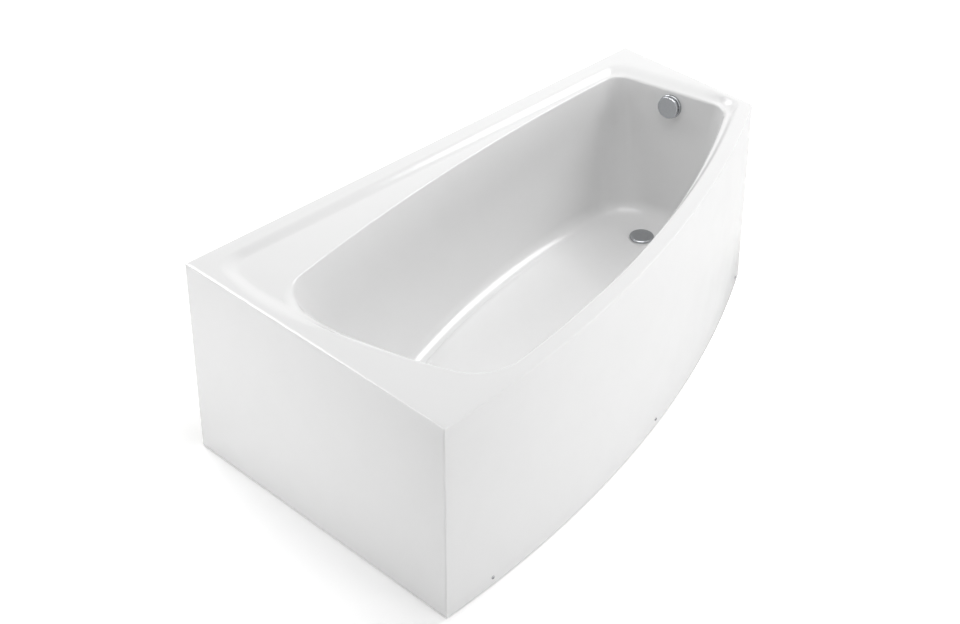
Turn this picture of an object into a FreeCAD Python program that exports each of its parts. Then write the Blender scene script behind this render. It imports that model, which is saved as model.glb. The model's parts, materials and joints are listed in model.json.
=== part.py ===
import FreeCAD, Part
import Sketcher
import math
import os

# An acrylic corner bath: straight along its two walls, with a bowed front that narrows
# towards the tap end. Millimetres, +Z up. The origin is on the floor under the middle of
# the bath, +X points to the tap end and +Y to the back wall.

doc = FreeCAD.newDocument("corner_bath")

# ---------------------------------------------------------------- sizes

SIZES = [
    # the whole bath
    ("overall_length", 1700),
    ("overall_width", 970),
    ("tap_end_width", 500),
    ("overall_height", 600),
    ("front_bow", 111),
    # the acrylic shell and the glass fibre behind it
    ("acrylic_thick", 5),
    ("glass_fibre_thick", 4),
    ("lip_depth", 40),
    ("deck_depth", 15),
    ("floor_level", 178),
    ("floor_fillet", 45),
    # the sunk deck: each corner's place from the nearest corner of the bath
    ("deck_back_gap", 50),
    ("deck_back_head_along", 79),
    ("deck_back_tap_along", 96),
    ("deck_front_tap_along", 10),
    ("deck_front_tap_across", 48),
    ("deck_front_head_along", 430),
    ("deck_front_head_across", 100),
    ("deck_front_bow", 70),
    ("deck_head_bow", 160),
    ("deck_back_head_radius", 80),
    ("deck_back_tap_radius", 60),
    ("deck_front_tap_radius", 70),
    ("deck_front_head_radius", 60),
    # the edge of the well, set out in the same way
    ("well_back_head_along", 108),
    ("well_back_head_across", 250),
    ("well_back_tap_along", 124),
    ("well_back_tap_across", 77),
    ("well_front_tap_along", 47),
    ("well_front_tap_across", 58),
    ("well_front_head_along", 225),
    ("well_front_head_across", 65),
    ("well_back_bow", 41),
    ("well_front_bow", 88),
    ("well_head_bow", 53),
    ("well_back_head_radius", 123),
    ("well_back_tap_radius", 54),
    ("well_front_tap_radius", 66),
    ("well_front_head_radius", 132),
    # how far the walls lean in between the edge of the well and the floor
    ("backrest_lean_back", 207),
    ("backrest_lean_front", 140),
    ("back_lean_head", 143),
    ("back_lean_tap", 65),
    ("tap_lean_back", 46),
    ("tap_lean_front", 62),
    ("front_lean_head", 53),
    ("front_lean_tap", 14),
    ("floor_back_bow", 73),
    ("floor_front_bow", 70),
    ("floor_head_bow", 40),
    ("floor_back_head_radius", 110),
    ("floor_back_tap_radius", 140),
    ("floor_front_tap_radius", 70),
    ("floor_front_head_radius", 150),
    # board and battens
    ("board_thick", 16),
    ("board_margin", 5),
    ("batten_thick", 20),
    ("batten_gap", 0.5),
    ("batten_end_gap", 40),
    ("batten_corner_gap", 60),
    ("tap_batten_length", 250),
    ("back_slot", 5.5),
    # steel frame
    ("beam_size", 25),
    ("beam_wall", 2),
    ("post_size", 20),
    ("post_wall", 2),
    ("head_station_gap", 168),
    ("tap_station_gap", 50),
    ("middle_station_share", 0.526),
    ("rail_turn", 12),
    ("rail_back_across", 474),
    ("rail_front_across", 735),
    ("rail_overhang", 15),
    ("beam_front_gap", 9),
    # legs
    ("stud_radius", 6),
    ("stud_play", 0.05),
    ("stud_hole_play", 0.5),
    ("nut_height", 10),
    ("lock_nut_height", 6),
    ("nut_across", 19),
    ("pad_radius", 25),
    ("pad_height", 14),
    ("pad_boss_radius", 11),
    ("pad_base_height", 5),
    ("pad_socket_depth", 9),
    ("stud_top_gap", 3),
    ("leg_end_gap", 55),
    # panels
    ("panel_thick", 4),
    ("panel_gap", 0.3),
    ("panel_floor_gap", 2),
    ("panel_flange", 22),
    ("strip_thick", 12),
    ("strip_height", 30),
    ("strip_below_lip", 7),
    ("strip_end_gap", 45),
    ("hanger_width", 30),
    ("hanger_offset", 70),
    ("hanger_grip", 10),
    ("sheet_steel", 3),
    ("bracket_width", 36),
    ("bracket_floor_gap", 8),
    ("bracket_reach", 50),
    ("end_hanger_back", 250),
    ("end_hanger_front", 720),
    ("end_bracket_back", 250),
    ("end_bracket_front", 620),
    ("low_strip_level", 30),
    ("corner_angle_leg", 30),
    ("corner_angle_thick", 2),
    ("screw_height", 27),
    ("screw_radius", 2),
    ("screw_head_radius", 5),
    ("screw_head_height", 2.5),
    ("screw_length", 16),
    # wall hooks
    ("hook_width", 50),
    ("hook_from_end", 350),
    ("hook_plate_height", 60),
    ("hook_plate_thick", 2),
    ("hook_rise", 25),
    ("hook_hole_radius", 3),
    ("hook_hole_spacing", 30),
    ("hook_gap", 1),
    # waste in the floor
    ("drain_from_tap", 264),
    ("drain_across", 327),
    ("drain_hole_radius", 26),
    ("drain_flange_radius", 35),
    ("drain_flange_thick", 3),
    ("drain_throat_radius", 20),
    ("drain_tube_radius", 24),
    ("plug_radius", 37),
    ("plug_thick", 5),
    ("plug_gap", 0.3),
    ("plug_stem_radius", 4),
    ("plug_guide_play", 0.05),
    ("plug_edge", 1.5),
    ("plug_seal_bore", 12),
    ("plug_stem_length", 45),
    ("drain_throat_depth", 24),
    ("guide_hub_radius", 7),
    ("guide_hub_depth", 6),
    ("spoke_width", 3),
    ("spoke_bite", 2),
    ("lift_rod_radius", 3),
    ("lift_rod_length", 32),
    ("seal_thick", 3),
    ("body_flange_radius", 36),
    ("body_flange_thick", 4),
    ("body_wall", 5),
    ("body_height", 42),
    ("dip_tube_length", 74),
    ("trap_radius", 42),
    ("trap_floor_gap", 28),
    ("trap_height", 72),
    ("trap_wall", 3),
    ("trap_head_thick", 6),
    ("outlet_radius", 20),
    ("outlet_bore", 17),
    ("outlet_length", 175),
    ("outlet_neck_radius", 19.5),
    ("outlet_neck_show", 2),
    ("outlet_level", 72),
    ("dip_tube_radius", 17),
    ("slip_nut_radius", 27),
    ("slip_nut_length", 20),
    # overflow in the wall at the tap end
    ("overflow_level", 538),
    ("overflow_across", 267),
    ("overflow_hole_radius", 24),
    ("wall_twist_room", 0.3),
    ("rosette_radius", 36),
    ("rosette_thick", 9),
    ("knob_radius", 33),
    ("knob_thick", 9.5),
    ("knob_gap", 2),
    ("knob_wall", 3),
    ("spindle_radius", 5),
    ("spindle_play", 0.05),
    ("overflow_cup_radius", 33),
    ("overflow_cup_depth", 34),
    ("overflow_cup_wall", 3),
    ("overflow_pipe_radius", 13),
    ("overflow_pipe_bore", 11),
    ("overflow_pipe_bend", 60),
    ("overflow_pipe_level", 137),
    ("overflow_stub_length", 15),
    ("inlet_reach", 45),
    ("pipe_nut_radius", 15.5),
    ("pipe_nut_length", 20),
    ("cable_radius", 3),
    ("cable_offset", 21.5),
    ("gland_radius", 5),
    ("gland_start", 10),
    ("gland_reach", 38),
    ("crank_radius", 14),
    ("crank_thick", 4),
    ("crank_gap", 1),
    ("overflow_tool_length", 80),
    ("board_hole_gap", 14),
]

# Places that follow from the sizes. Distances along the bath are taken from its head end and
# distances across it from the back wall, so a place across the bath is below zero.
PLACES = [
    ("head_x", "-sizes.overall_length / 2"),
    ("back_y", "sizes.overall_width / 2"),
    ("front_drop", "sizes.overall_width - sizes.tap_end_width"),
    ("front_chord", "sqrt(pow(sizes.overall_length; 2) + pow(front_drop; 2))"),
    ("front_radius", "pow(front_chord; 2) / (8 * sizes.front_bow) + sizes.front_bow / 2"),
    ("front_reach", "front_radius - sizes.front_bow"),
    ("front_centre_x", "sizes.overall_length / 2 - front_reach * front_drop / front_chord"),
    ("front_centre_y", "front_reach * sizes.overall_length / front_chord"
                       " - (sizes.overall_width + sizes.tap_end_width) / 2"),
    # the sunk deck
    ("deck_level", "sizes.overall_height - sizes.deck_depth"),
    ("deck_back_head_x", "sizes.deck_back_head_along"),
    ("deck_back_head_y", "-sizes.deck_back_gap"),
    ("deck_back_tap_x", "sizes.overall_length - sizes.deck_back_tap_along"),
    ("deck_back_tap_y", "-sizes.deck_back_gap"),
    ("deck_front_tap_x", "sizes.overall_length - sizes.deck_front_tap_along"),
    ("deck_front_tap_y", "sizes.deck_front_tap_across - sizes.tap_end_width"),
    ("deck_front_head_x", "sizes.deck_front_head_along"),
    ("deck_front_head_y", "sizes.deck_front_head_across - sizes.overall_width"),
    # the edge of the well
    ("well_back_head_x", "sizes.well_back_head_along"),
    ("well_back_head_y", "-sizes.well_back_head_across"),
    ("well_back_tap_x", "sizes.overall_length - sizes.well_back_tap_along"),
    ("well_back_tap_y", "-sizes.well_back_tap_across"),
    ("well_front_tap_x", "sizes.overall_length - sizes.well_front_tap_along"),
    ("well_front_tap_y", "sizes.well_front_tap_across - sizes.tap_end_width"),
    ("well_front_head_x", "sizes.well_front_head_along"),
    ("well_front_head_y", "sizes.well_front_head_across - sizes.overall_width"),
    # the floor of the well
    ("floor_back_head_x", "well_back_head_x + sizes.backrest_lean_back"),
    ("floor_back_head_y", "well_back_head_y - sizes.back_lean_head"),
    ("floor_back_tap_x", "well_back_tap_x - sizes.tap_lean_back"),
    ("floor_back_tap_y", "well_back_tap_y - sizes.back_lean_tap"),
    ("floor_front_tap_x", "well_front_tap_x - sizes.tap_lean_front"),
    ("floor_front_tap_y", "well_front_tap_y + sizes.front_lean_tap"),
    ("floor_front_head_x", "well_front_head_x + sizes.backrest_lean_front"),
    ("floor_front_head_y", "well_front_head_y + sizes.front_lean_head"),
    # the overflow: where its axis meets the inner face of the wall, and which way it points
    ("overflow_y", "-sizes.overflow_across"),
    ("tap_edge_slope", "(well_front_tap_x - well_back_tap_x) / (well_back_tap_y - well_front_tap_y)"),
    ("tap_floor_slope", "(floor_front_tap_x - floor_back_tap_x) / (floor_back_tap_y - floor_front_tap_y)"),
    ("tap_edge_x", "well_back_tap_x + (well_back_tap_y - overflow_y) * tap_edge_slope"),
    ("tap_floor_x", "floor_back_tap_x + (floor_back_tap_y - overflow_y) * tap_floor_slope"),
    ("overflow_drop", "(deck_level - sizes.overflow_level) / (deck_level - sizes.floor_level)"),
    ("overflow_x", "tap_edge_x - overflow_drop * (tap_edge_x - tap_floor_x)"),
    ("tap_wall_slope", "tap_edge_slope + overflow_drop * (tap_floor_slope - tap_edge_slope)"),
    ("tap_wall_turn", "atan(tap_wall_slope)"),
    ("tap_wall_lean", "atan((tap_edge_x - tap_floor_x) * cos(tap_wall_turn)"
                      " / (deck_level - sizes.floor_level))"),
    ("overflow_out_x", "-cos(tap_wall_turn) * cos(tap_wall_lean)"),
    ("overflow_out_y", "-sin(tap_wall_turn) * cos(tap_wall_lean)"),
    ("overflow_out_z", "sin(tap_wall_lean)"),
    # levels under the shell
    ("board_top", "sizes.floor_level - sizes.acrylic_thick - sizes.glass_fibre_thick"),
    ("rail_top", "board_top - sizes.board_thick"),
    ("beam_top", "rail_top - sizes.beam_size"),
    ("beam_bottom", "beam_top - sizes.beam_size"),
    ("rim_underside", "sizes.overall_height - sizes.acrylic_thick"),
    ("lip_bottom", "sizes.overall_height - sizes.lip_depth"),
    ("batten_bottom", "lip_bottom"),
    ("lip_inset", "sizes.panel_thick + sizes.panel_gap"),
    ("batten_inset", "lip_inset + sizes.acrylic_thick + sizes.batten_gap"),
    ("strip_top", "lip_bottom - sizes.strip_below_lip"),
    ("strip_bottom", "strip_top - sizes.strip_height"),
    ("hanger_inset", "sizes.panel_thick + sizes.strip_thick + sizes.panel_gap"),
    ("post_inset", "hanger_inset"),
    ("panel_top", "rim_underside - sizes.panel_gap"),
    ("back_batten_y", "-(sizes.acrylic_thick + sizes.back_slot)"),
    ("corner_near_y", "front_centre_y - sqrt(pow(front_radius - lip_inset; 2)"
                      " - pow(sizes.panel_thick - front_centre_x; 2))"),
    ("corner_far_y", "front_centre_y - sqrt(pow(front_radius - lip_inset; 2)"
                     " - pow(sizes.panel_thick + sizes.corner_angle_leg - front_centre_x; 2))"),
    ("corner_y", "max(corner_near_y; corner_far_y)"),
    ("hook_hole_level", "lip_bottom - sizes.hook_plate_height * 2 / 3"),
    # the waste and the overflow behind the shell
    ("stem_end", "sizes.floor_level + sizes.drain_flange_thick + sizes.plug_gap - sizes.plug_stem_length"),
    ("lift_rod_bottom", "stem_end - sizes.plug_gap - sizes.lift_rod_length"),
    ("body_bottom", "board_top - sizes.seal_thick - sizes.body_height"),
    ("dip_bottom", "body_bottom - sizes.dip_tube_length"),
    ("wall_thick", "sizes.acrylic_thick + sizes.glass_fibre_thick + sizes.wall_twist_room"),
    ("cup_back", "wall_thick + sizes.seal_thick + sizes.overflow_cup_depth"),
    ("cup_middle", "cup_back - sizes.overflow_cup_depth / 2"),
    ("spindle_end", "cup_back + sizes.crank_gap"),
    ("cup_x", "overflow_x - cup_middle * overflow_out_x"),
    ("cup_y", "overflow_y - cup_middle * overflow_out_y"),
    ("cup_level", "sizes.overflow_level - cup_middle * overflow_out_z"),
    ("pipe_top", "cup_level - sizes.overflow_cup_radius - sizes.overflow_stub_length"),
    ("cable_top", "pipe_top"),
    ("pipe_run", "sqrt(pow(drain_along - cup_x; 2) + pow(sizes.drain_across + cup_y; 2))"),
    ("pipe_turn", "180 deg + atan((-sizes.drain_across - cup_y) / (drain_along - cup_x))"),
    ("cable_x", "head_x + cup_x - sizes.cable_offset * sin(pipe_turn)"),
    ("cable_y", "back_y + cup_y + sizes.cable_offset * cos(pipe_turn)"),
    ("cable_end_x", "head_x + drain_along - sizes.cable_offset * sin(pipe_turn)"),
    ("cable_end_y", "back_y - sizes.drain_across + sizes.cable_offset * cos(pipe_turn)"),
    # the cross beams along the bath, and the waste
    ("head_station", "sizes.head_station_gap"),
    ("tap_station", "sizes.overall_length - sizes.tap_station_gap"),
    ("middle_station", "head_station + sizes.middle_station_share * (tap_station - head_station)"),
    ("drain_along", "sizes.overall_length - sizes.drain_from_tap"),
]


STATIONS = ("head", "middle", "tap")
CORNERS = ("back_head", "back_tap", "front_tap", "front_head")
SIDES = (
    ("back", "back_head", "back_tap"),
    ("tap", "back_tap", "front_tap"),
    ("front", "front_tap", "front_head"),
    ("head", "front_head", "back_head"),
)
SIZE_NAMES = [alias for alias, number in SIZES]


def bowed(outline, side):
    """Whether a side of an outline is an arc."""
    return "%s_%s_bow" % (outline, side) in SIZE_NAMES


def side_rows():
    """The chord and the radius of every bowed side of the deck, the well and the floor."""
    rows = []
    for outline in ("deck", "well", "floor"):
        for side, start, end in SIDES:
            if bowed(outline, side):
                name = "%s_%s" % (outline, side)
                run = "%s_%s_x - %s_%s_x" % (outline, end, outline, start)
                rise = "%s_%s_y - %s_%s_y" % (outline, end, outline, start)
                chord = "sqrt(pow(%s; 2) + pow(%s; 2))" % (run, rise)
                bow = "sizes.%s_bow" % name
                rows.append((name + "_chord", chord))
                rows.append((name + "_radius", "pow(%s_chord; 2) / (8 * %s) + %s / 2" % (name, bow, bow)))
    return rows


def station_rows():
    """Where the front's outer face lies at each cross beam, and which way it faces there."""
    rows = []
    for station in STATIONS:
        along = "(%s_station - front_centre_x)" % station
        far = "(%s_station + sizes.beam_size / 2 - front_centre_x)" % station
        inner = "(front_radius - sizes.panel_thick - sizes.beam_front_gap)"
        rows.append((station + "_turn", "asin(%s / front_radius)" % along))
        rows.append((station + "_beam_front_y",
                     "front_centre_y - sqrt(pow(%s; 2) - pow(%s; 2))" % (inner, far)))
        rows.append((station + "_front_leg_y", station + "_beam_front_y + sizes.leg_end_gap"))
        rows.append((station + "_back_leg_y", "back_batten_y - sizes.leg_end_gap"))
    return rows


def fill_sheet(name, rows, mark):
    """A spreadsheet with one named cell a row; mark is put before each cell's text."""
    sheet = doc.addObject("Spreadsheet::Sheet", name)
    for row, (alias, text) in enumerate(rows, start=1):
        sheet.set("A%d" % row, alias.replace("_", " "))
        sheet.set("B%d" % row, mark + str(text))
        sheet.setAlias("B%d" % row, alias)
    return sheet


sizes = fill_sheet("sizes", SIZES, "")
places = fill_sheet("places", PLACES + side_rows() + station_rows(), "=")
doc.recompute()


def value(alias):
    """The number in a named cell of either sheet."""
    sheet = sizes if alias in SIZE_NAMES else places
    return float(sheet.get(alias))


# ---------------------------------------------------------------- ways of making things

nodes = {}
UP = FreeCAD.Vector(0, 0, 1)


def bind(thing, texts):
    """Ties properties of an object to expressions on the sheets."""
    for name, text in texts.items():
        thing.setExpression(name, text)
    return thing


def stand(thing, x, y, z):
    """Puts an object's own origin at a place given by three expressions."""
    return bind(thing, {"Placement.Base.x": x, "Placement.Base.y": y, "Placement.Base.z": z})


def from_corner(thing, x, y, z):
    """Places an object from the corner of the two walls at the head end, and by its level."""
    return stand(thing, "places.head_x + " + x, "places.back_y + " + y, z)


def block(name, size):
    """A rectangular block of that length, width and height."""
    return bind(doc.addObject("Part::Box", name), dict(zip(("Length", "Width", "Height"), size)))


def rod(name, radius, height):
    """A round rod, standing upright."""
    return bind(doc.addObject("Part::Cylinder", name), {"Radius": radius, "Height": height})


def fused(name, pieces):
    thing = doc.addObject("Part::MultiFuse", name)
    thing.Shapes = pieces
    return thing


def cut(name, base, tool):
    thing = doc.addObject("Part::Cut", name)
    thing.Base = base
    thing.Tool = tool
    return thing


def together(name, pieces):
    """Several loose solids of one kind, kept as one sub-part."""
    thing = doc.addObject("Part::Compound", name)
    thing.Links = pieces
    return thing


def raised(name, outline, height):
    """A flat outline raised straight up."""
    thing = doc.addObject("Part::Extrusion", name)
    thing.Base = outline
    thing.DirMode = "Custom"
    thing.Dir = UP
    thing.Solid = True
    return bind(thing, {"LengthFwd": height})


def grown(name, outline, amount):
    """An outline set out, or in, by an amount all round."""
    thing = doc.addObject("Part::Offset2D", name)
    thing.Source = outline
    return bind(thing, {"Value": amount})


def keep(node, thing):
    """Names a finished sub-part."""
    thing.Label = node
    nodes[node] = thing
    return thing


# ---------------------------------------------------------------- sketches

def new_body(name):
    return doc.addObject("PartDesign::Body", name)


def sketch_on(body, name, role):
    """An empty sketch on one of the body's own origin planes."""
    sketch = body.newObject("Sketcher::SketchObject", name)
    plane = [feature for feature in body.Origin.OriginFeatures if feature.Role == role][0]
    sketch.AttachmentSupport = [(plane, "")]
    sketch.MapMode = "FlatFace"
    return sketch


def constrain(sketch, kind, *what, text, first_value=1.0):
    """Adds a sized constraint that is tied to an expression."""
    index = sketch.addConstraint(Sketcher.Constraint(kind, *what, first_value))
    sketch.setExpression("Constraints[%d]" % index, text)


def relate(sketch, kind, *what):
    """Adds a constraint that has no size."""
    sketch.addConstraint(Sketcher.Constraint(kind, *what))


def cell(alias):
    """The expression that reads a named cell."""
    return ("sizes." if alias in SIZE_NAMES else "places.") + alias


def constrain_to_cell(sketch, kind, *what, alias):
    """Adds a constraint that is tied to one named cell and starts at its number."""
    constrain(sketch, kind, *what, text=cell(alias), first_value=value(alias))


def add_polygon(sketch, corners):
    """A closed run of straight lines through corners given as pairs of expressions."""
    first = sketch.GeometryCount
    count = len(corners)
    ring = [FreeCAD.Vector(math.cos(2 * math.pi * n / count), math.sin(2 * math.pi * n / count), 0)
            for n in range(count)]
    for n in range(count):
        sketch.addGeometry(Part.LineSegment(ring[n], ring[(n + 1) % count]), False)
    for n in range(count):
        relate(sketch, "Coincident", first + n, 2, first + (n + 1) % count, 1)
    for n, (x, y) in enumerate(corners):
        constrain(sketch, "DistanceX", -1, 1, first + n, 1, text=x)
        constrain(sketch, "DistanceY", -1, 1, first + n, 1, text=y)


def rectangle(left, right, low, high):
    return [(left, low), (right, low), (right, high), (left, high)]


def padded(name, role, loops, length, both_ways=False):
    """A body made by padding closed loops of straight lines; a loop inside another is a hole."""
    body = new_body(name)
    sketch = sketch_on(body, name + "_outline", role)
    for corners in loops:
        add_polygon(sketch, corners)
    pad = body.newObject("PartDesign::Pad", name + "_pad")
    pad.Profile = sketch
    pad.Midplane = both_ways
    bind(pad, {"Length": length})
    body.Tip = pad
    return body


def turned(name, corners, role="XZ_Plane", axis="V_Axis"):
    """A round body: a closed profile turned about one axis of its sketch."""
    body = new_body(name)
    sketch = sketch_on(body, name + "_profile", role)
    add_polygon(sketch, corners)
    turn = body.newObject("PartDesign::Revolution", name + "_turn")
    turn.Profile = sketch
    turn.ReferenceAxis = (sketch, [axis])
    turn.Angle = 360
    body.Tip = turn
    return body


def ring(name, inner, outer, low, high):
    """A flat ring or a tube about Z, between two radii and two levels."""
    return turned(name, rectangle(inner, outer, low, high))


def arc_between(centre, radius, first, last):
    """An arc about +Z that starts in the direction of one point and ends in that of another."""
    start = math.atan2(first.y - centre.y, first.x - centre.x)
    end = math.atan2(last.y - centre.y, last.x - centre.x)
    return Part.ArcOfCircle(Part.Circle(centre, UP, radius), start, end)


class Side:
    """One side of an outline that runs clockwise: a line, or an arc bowed outwards."""

    def __init__(self, outline, side, start, end):
        self.start = point_of(outline, start)
        self.end = point_of(outline, end)
        self.run = (self.end - self.start).normalize()
        self.out = FreeCAD.Vector(-self.run.y, self.run.x, 0)
        self.radius = value("%s_%s_radius" % (outline, side)) if bowed(outline, side) else None
        if self.radius:
            half = (self.end - self.start).Length / 2
            depth = math.sqrt(self.radius ** 2 - half ** 2)
            self.centre = (self.start + self.end) / 2 - self.out * depth

    def depth(self, point):
        """How far inside the outline a point lies, measured square to this side."""
        if self.radius:
            return self.radius - (point - self.centre).Length
        return (self.start - point).dot(self.out)

    def nearest(self, point):
        """The point of this side that is nearest to a point."""
        if self.radius:
            return self.centre + (point - self.centre).normalize() * self.radius
        return point + self.out * self.depth(point)


def point_of(outline, corner):
    """Where the two sides at a corner would meet if the corner were sharp."""
    name = "%s_%s" % (outline, corner)
    return FreeCAD.Vector(value(name + "_x"), value(name + "_y"), 0)


def round_centre(before, after, radius):
    """The centre of a round corner that touches two sides from inside."""
    centre = before.end - (before.out + after.out) * radius
    for step in range(30):
        centre = centre + before.out * (before.depth(centre) - radius)
        centre = centre + after.out * (after.depth(centre) - radius)
    return centre


def rounded_outline(outline, level):
    """The deck, the well or the floor: four sides and four round corners, clockwise."""
    sketch = doc.addObject("Sketcher::SketchObject", outline + "_outline")
    from_corner(sketch, "0", "0", level)
    sides = [Side(outline, *side) for side in SIDES]
    centres = []
    for n, corner in enumerate(CORNERS):
        centres.append(round_centre(sides[n - 1], sides[n], value("%s_%s_radius" % (outline, corner))))
    ends = []
    for n, (name, start, end) in enumerate(SIDES):
        leave = sides[n].nearest(centres[n])
        arrive = sides[n].nearest(centres[(n + 1) % 4])
        if sides[n].radius:
            sketch.addGeometry(arc_between(sides[n].centre, sides[n].radius, arrive, leave), False)
            constrain_to_cell(sketch, "Radius", n, alias="%s_%s_radius" % (outline, name))
            ends.append((2, 1))
        else:
            sketch.addGeometry(Part.LineSegment(leave, arrive), False)
            ends.append((1, 2))
    for n, corner in enumerate(CORNERS):
        radius = "%s_%s_radius" % (outline, corner)
        before = sides[n - 1].nearest(centres[n])
        after = sides[n].nearest(centres[n])
        sketch.addGeometry(arc_between(centres[n], value(radius), after, before), False)
        constrain_to_cell(sketch, "Radius", 4 + n, alias=radius)
        relate(sketch, "Tangent", (n - 1) % 4, ends[n - 1][1], 4 + n, 2)
        relate(sketch, "Tangent", 4 + n, 1, n, ends[n][0])
    for n, corner in enumerate(CORNERS):
        point = sketch.addGeometry(Part.Point(point_of(outline, corner)), True)
        constrain_to_cell(sketch, "DistanceX", -1, 1, point, 1, alias="%s_%s_x" % (outline, corner))
        constrain_to_cell(sketch, "DistanceY", -1, 1, point, 1, alias="%s_%s_y" % (outline, corner))
        relate(sketch, "PointOnObject", point, 1, (n - 1) % 4)
        relate(sketch, "PointOnObject", point, 1, n)
    return sketch


def bath_outline(name, level, head_inset, back_inset, tap_inset, front_inset):
    """The outline of the whole bath at a level, with each of its four sides drawn in by an amount."""
    sketch = doc.addObject("Sketcher::SketchObject", name)
    from_corner(sketch, "0", "0", level)
    length = value("overall_length")
    centre = FreeCAD.Vector(value("front_centre_x"), value("front_centre_y"), 0)
    radius = value("front_radius")
    at_head = centre + FreeCAD.Vector(-centre.x, -math.sqrt(radius ** 2 - centre.x ** 2), 0)
    far = length - centre.x
    at_tap = centre + FreeCAD.Vector(far, -math.sqrt(radius ** 2 - far ** 2), 0)
    back_head = FreeCAD.Vector(0, 0, 0)
    back_tap = FreeCAD.Vector(length, 0, 0)
    sketch.addGeometry(Part.LineSegment(at_head, back_head), False)
    sketch.addGeometry(Part.LineSegment(back_head, back_tap), False)
    sketch.addGeometry(Part.LineSegment(back_tap, at_tap), False)
    sketch.addGeometry(arc_between(centre, radius, at_head, at_tap), False)
    relate(sketch, "Coincident", 0, 2, 1, 1)
    relate(sketch, "Coincident", 1, 2, 2, 1)
    relate(sketch, "Coincident", 2, 2, 3, 2)
    relate(sketch, "Coincident", 3, 1, 0, 1)
    relate(sketch, "Vertical", 0)
    relate(sketch, "Horizontal", 1)
    relate(sketch, "Vertical", 2)
    constrain_to_cell(sketch, "DistanceX", -1, 1, 3, 3, alias="front_centre_x")
    constrain_to_cell(sketch, "DistanceY", -1, 1, 3, 3, alias="front_centre_y")
    constrain(sketch, "Radius", 3, text="places.front_radius - (%s)" % front_inset, first_value=radius)
    constrain(sketch, "DistanceX", -1, 1, 0, 2, text=head_inset, first_value=0.0)
    constrain(sketch, "DistanceY", -1, 1, 0, 2, text="-(%s)" % back_inset, first_value=0.0)
    constrain(sketch, "DistanceX", -1, 1, 2, 1, text="sizes.overall_length - (%s)" % tap_inset,
              first_value=length)
    return sketch


def front_band(name, outer_inset, inner_inset, head_gap, tap_gap):
    """A sketch of a strip that follows the front, between two insets from its outer face."""
    body = new_body(name)
    stand(body, "places.head_x", "places.back_y", "0")
    sketch = sketch_on(body, name + "_outline", "XY_Plane")
    length = value("overall_length")
    centre = FreeCAD.Vector(value("front_centre_x"), value("front_centre_y"), 0)
    radius = value("front_radius")
    reach = radius / 100
    ends = []
    for r in (radius, radius - reach):
        first = centre + FreeCAD.Vector(-centre.x, -math.sqrt(r ** 2 - centre.x ** 2), 0)
        last = centre + FreeCAD.Vector(length - centre.x, -math.sqrt(r ** 2 - (length - centre.x) ** 2), 0)
        sketch.addGeometry(arc_between(centre, r, first, last), False)
        ends.append((first, last))
    sketch.addGeometry(Part.LineSegment(ends[0][0], ends[1][0]), False)
    sketch.addGeometry(Part.LineSegment(ends[0][1], ends[1][1]), False)
    relate(sketch, "Coincident", 2, 1, 0, 1)
    relate(sketch, "Coincident", 2, 2, 1, 1)
    relate(sketch, "Coincident", 3, 1, 0, 2)
    relate(sketch, "Coincident", 3, 2, 1, 2)
    relate(sketch, "Vertical", 2)
    relate(sketch, "Vertical", 3)
    relate(sketch, "Coincident", 0, 3, 1, 3)
    constrain_to_cell(sketch, "DistanceX", -1, 1, 0, 3, alias="front_centre_x")
    constrain_to_cell(sketch, "DistanceY", -1, 1, 0, 3, alias="front_centre_y")
    constrain(sketch, "Radius", 0, text="places.front_radius - (%s)" % outer_inset, first_value=radius)
    constrain(sketch, "Radius", 1, text="places.front_radius - (%s)" % inner_inset,
              first_value=radius - reach)
    constrain(sketch, "DistanceX", -1, 1, 0, 1, text=head_gap, first_value=0.0)
    constrain(sketch, "DistanceX", -1, 1, 0, 2, text="sizes.overall_length - (%s)" % tap_gap,
              first_value=length)
    return body, sketch


def pad_band(body, sketch, low, height):
    """Raises a band from one level by a height."""
    bind(sketch, {"AttachmentOffset.Base.z": low})
    pad = body.newObject("PartDesign::Pad", sketch.Name + "_pad")
    pad.Profile = sketch
    bind(pad, {"Length": height})
    body.Tip = pad
    return body


def face_the_front(thing, station, level="0", shift="0"):
    """Stands an object at the centre of the front's arc, with its -Y towards the front at a station."""
    stand(thing, "places.head_x + places.front_centre_x", "places.back_y + places.front_centre_y", level)
    turn = "places.%s_turn" % station
    if shift != "0":
        turn += " + (%s) / places.front_radius * 180 / pi * 1 deg" % shift
    return bind(thing, {"Placement.Rotation.Angle": turn})


def face_the_end(thing, across, level="0"):
    """Stands an object on the end panel's outer face, with its -Y pointing out of the head end."""
    stand(thing, "places.head_x", "places.back_y - " + across, level)
    return bind(thing, {"Placement.Rotation.Angle": "-90 deg"})


FRONT = "-places.front_radius"
END = "0"


def inset(surface, amount):
    """How far along local Y a thing lies inside a panel's outer face."""
    return "%s + %s" % (surface, amount)


# ---------------------------------------------------------------- the shell and its backing

def well_block(name, well, floor, radius):
    """A solid of the well from its edge down to its floor, with the floor's edge rounded."""
    walls = doc.addObject("Part::Loft", name + "_walls")
    walls.Sections = [well, floor]
    walls.Solid = True
    walls.Ruled = True
    doc.recompute()
    bottom = walls.Shape.BoundBox.ZMin
    low = [n for n, edge in enumerate(walls.Shape.Edges, start=1) if edge.BoundBox.ZMax < bottom + 1]
    rounded = doc.addObject("Part::Fillet", name)
    rounded.Base = walls
    rounded.Edges = [(n, radius, radius) for n in low]
    return rounded


acrylic = "sizes.acrylic_thick"
both_skins = "(sizes.acrylic_thick + sizes.glass_fibre_thick)"
well_outline = rounded_outline("well", "places.deck_level")
deck_outline = rounded_outline("deck", "places.deck_level")
floor_outline = rounded_outline("floor", "sizes.floor_level")

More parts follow.
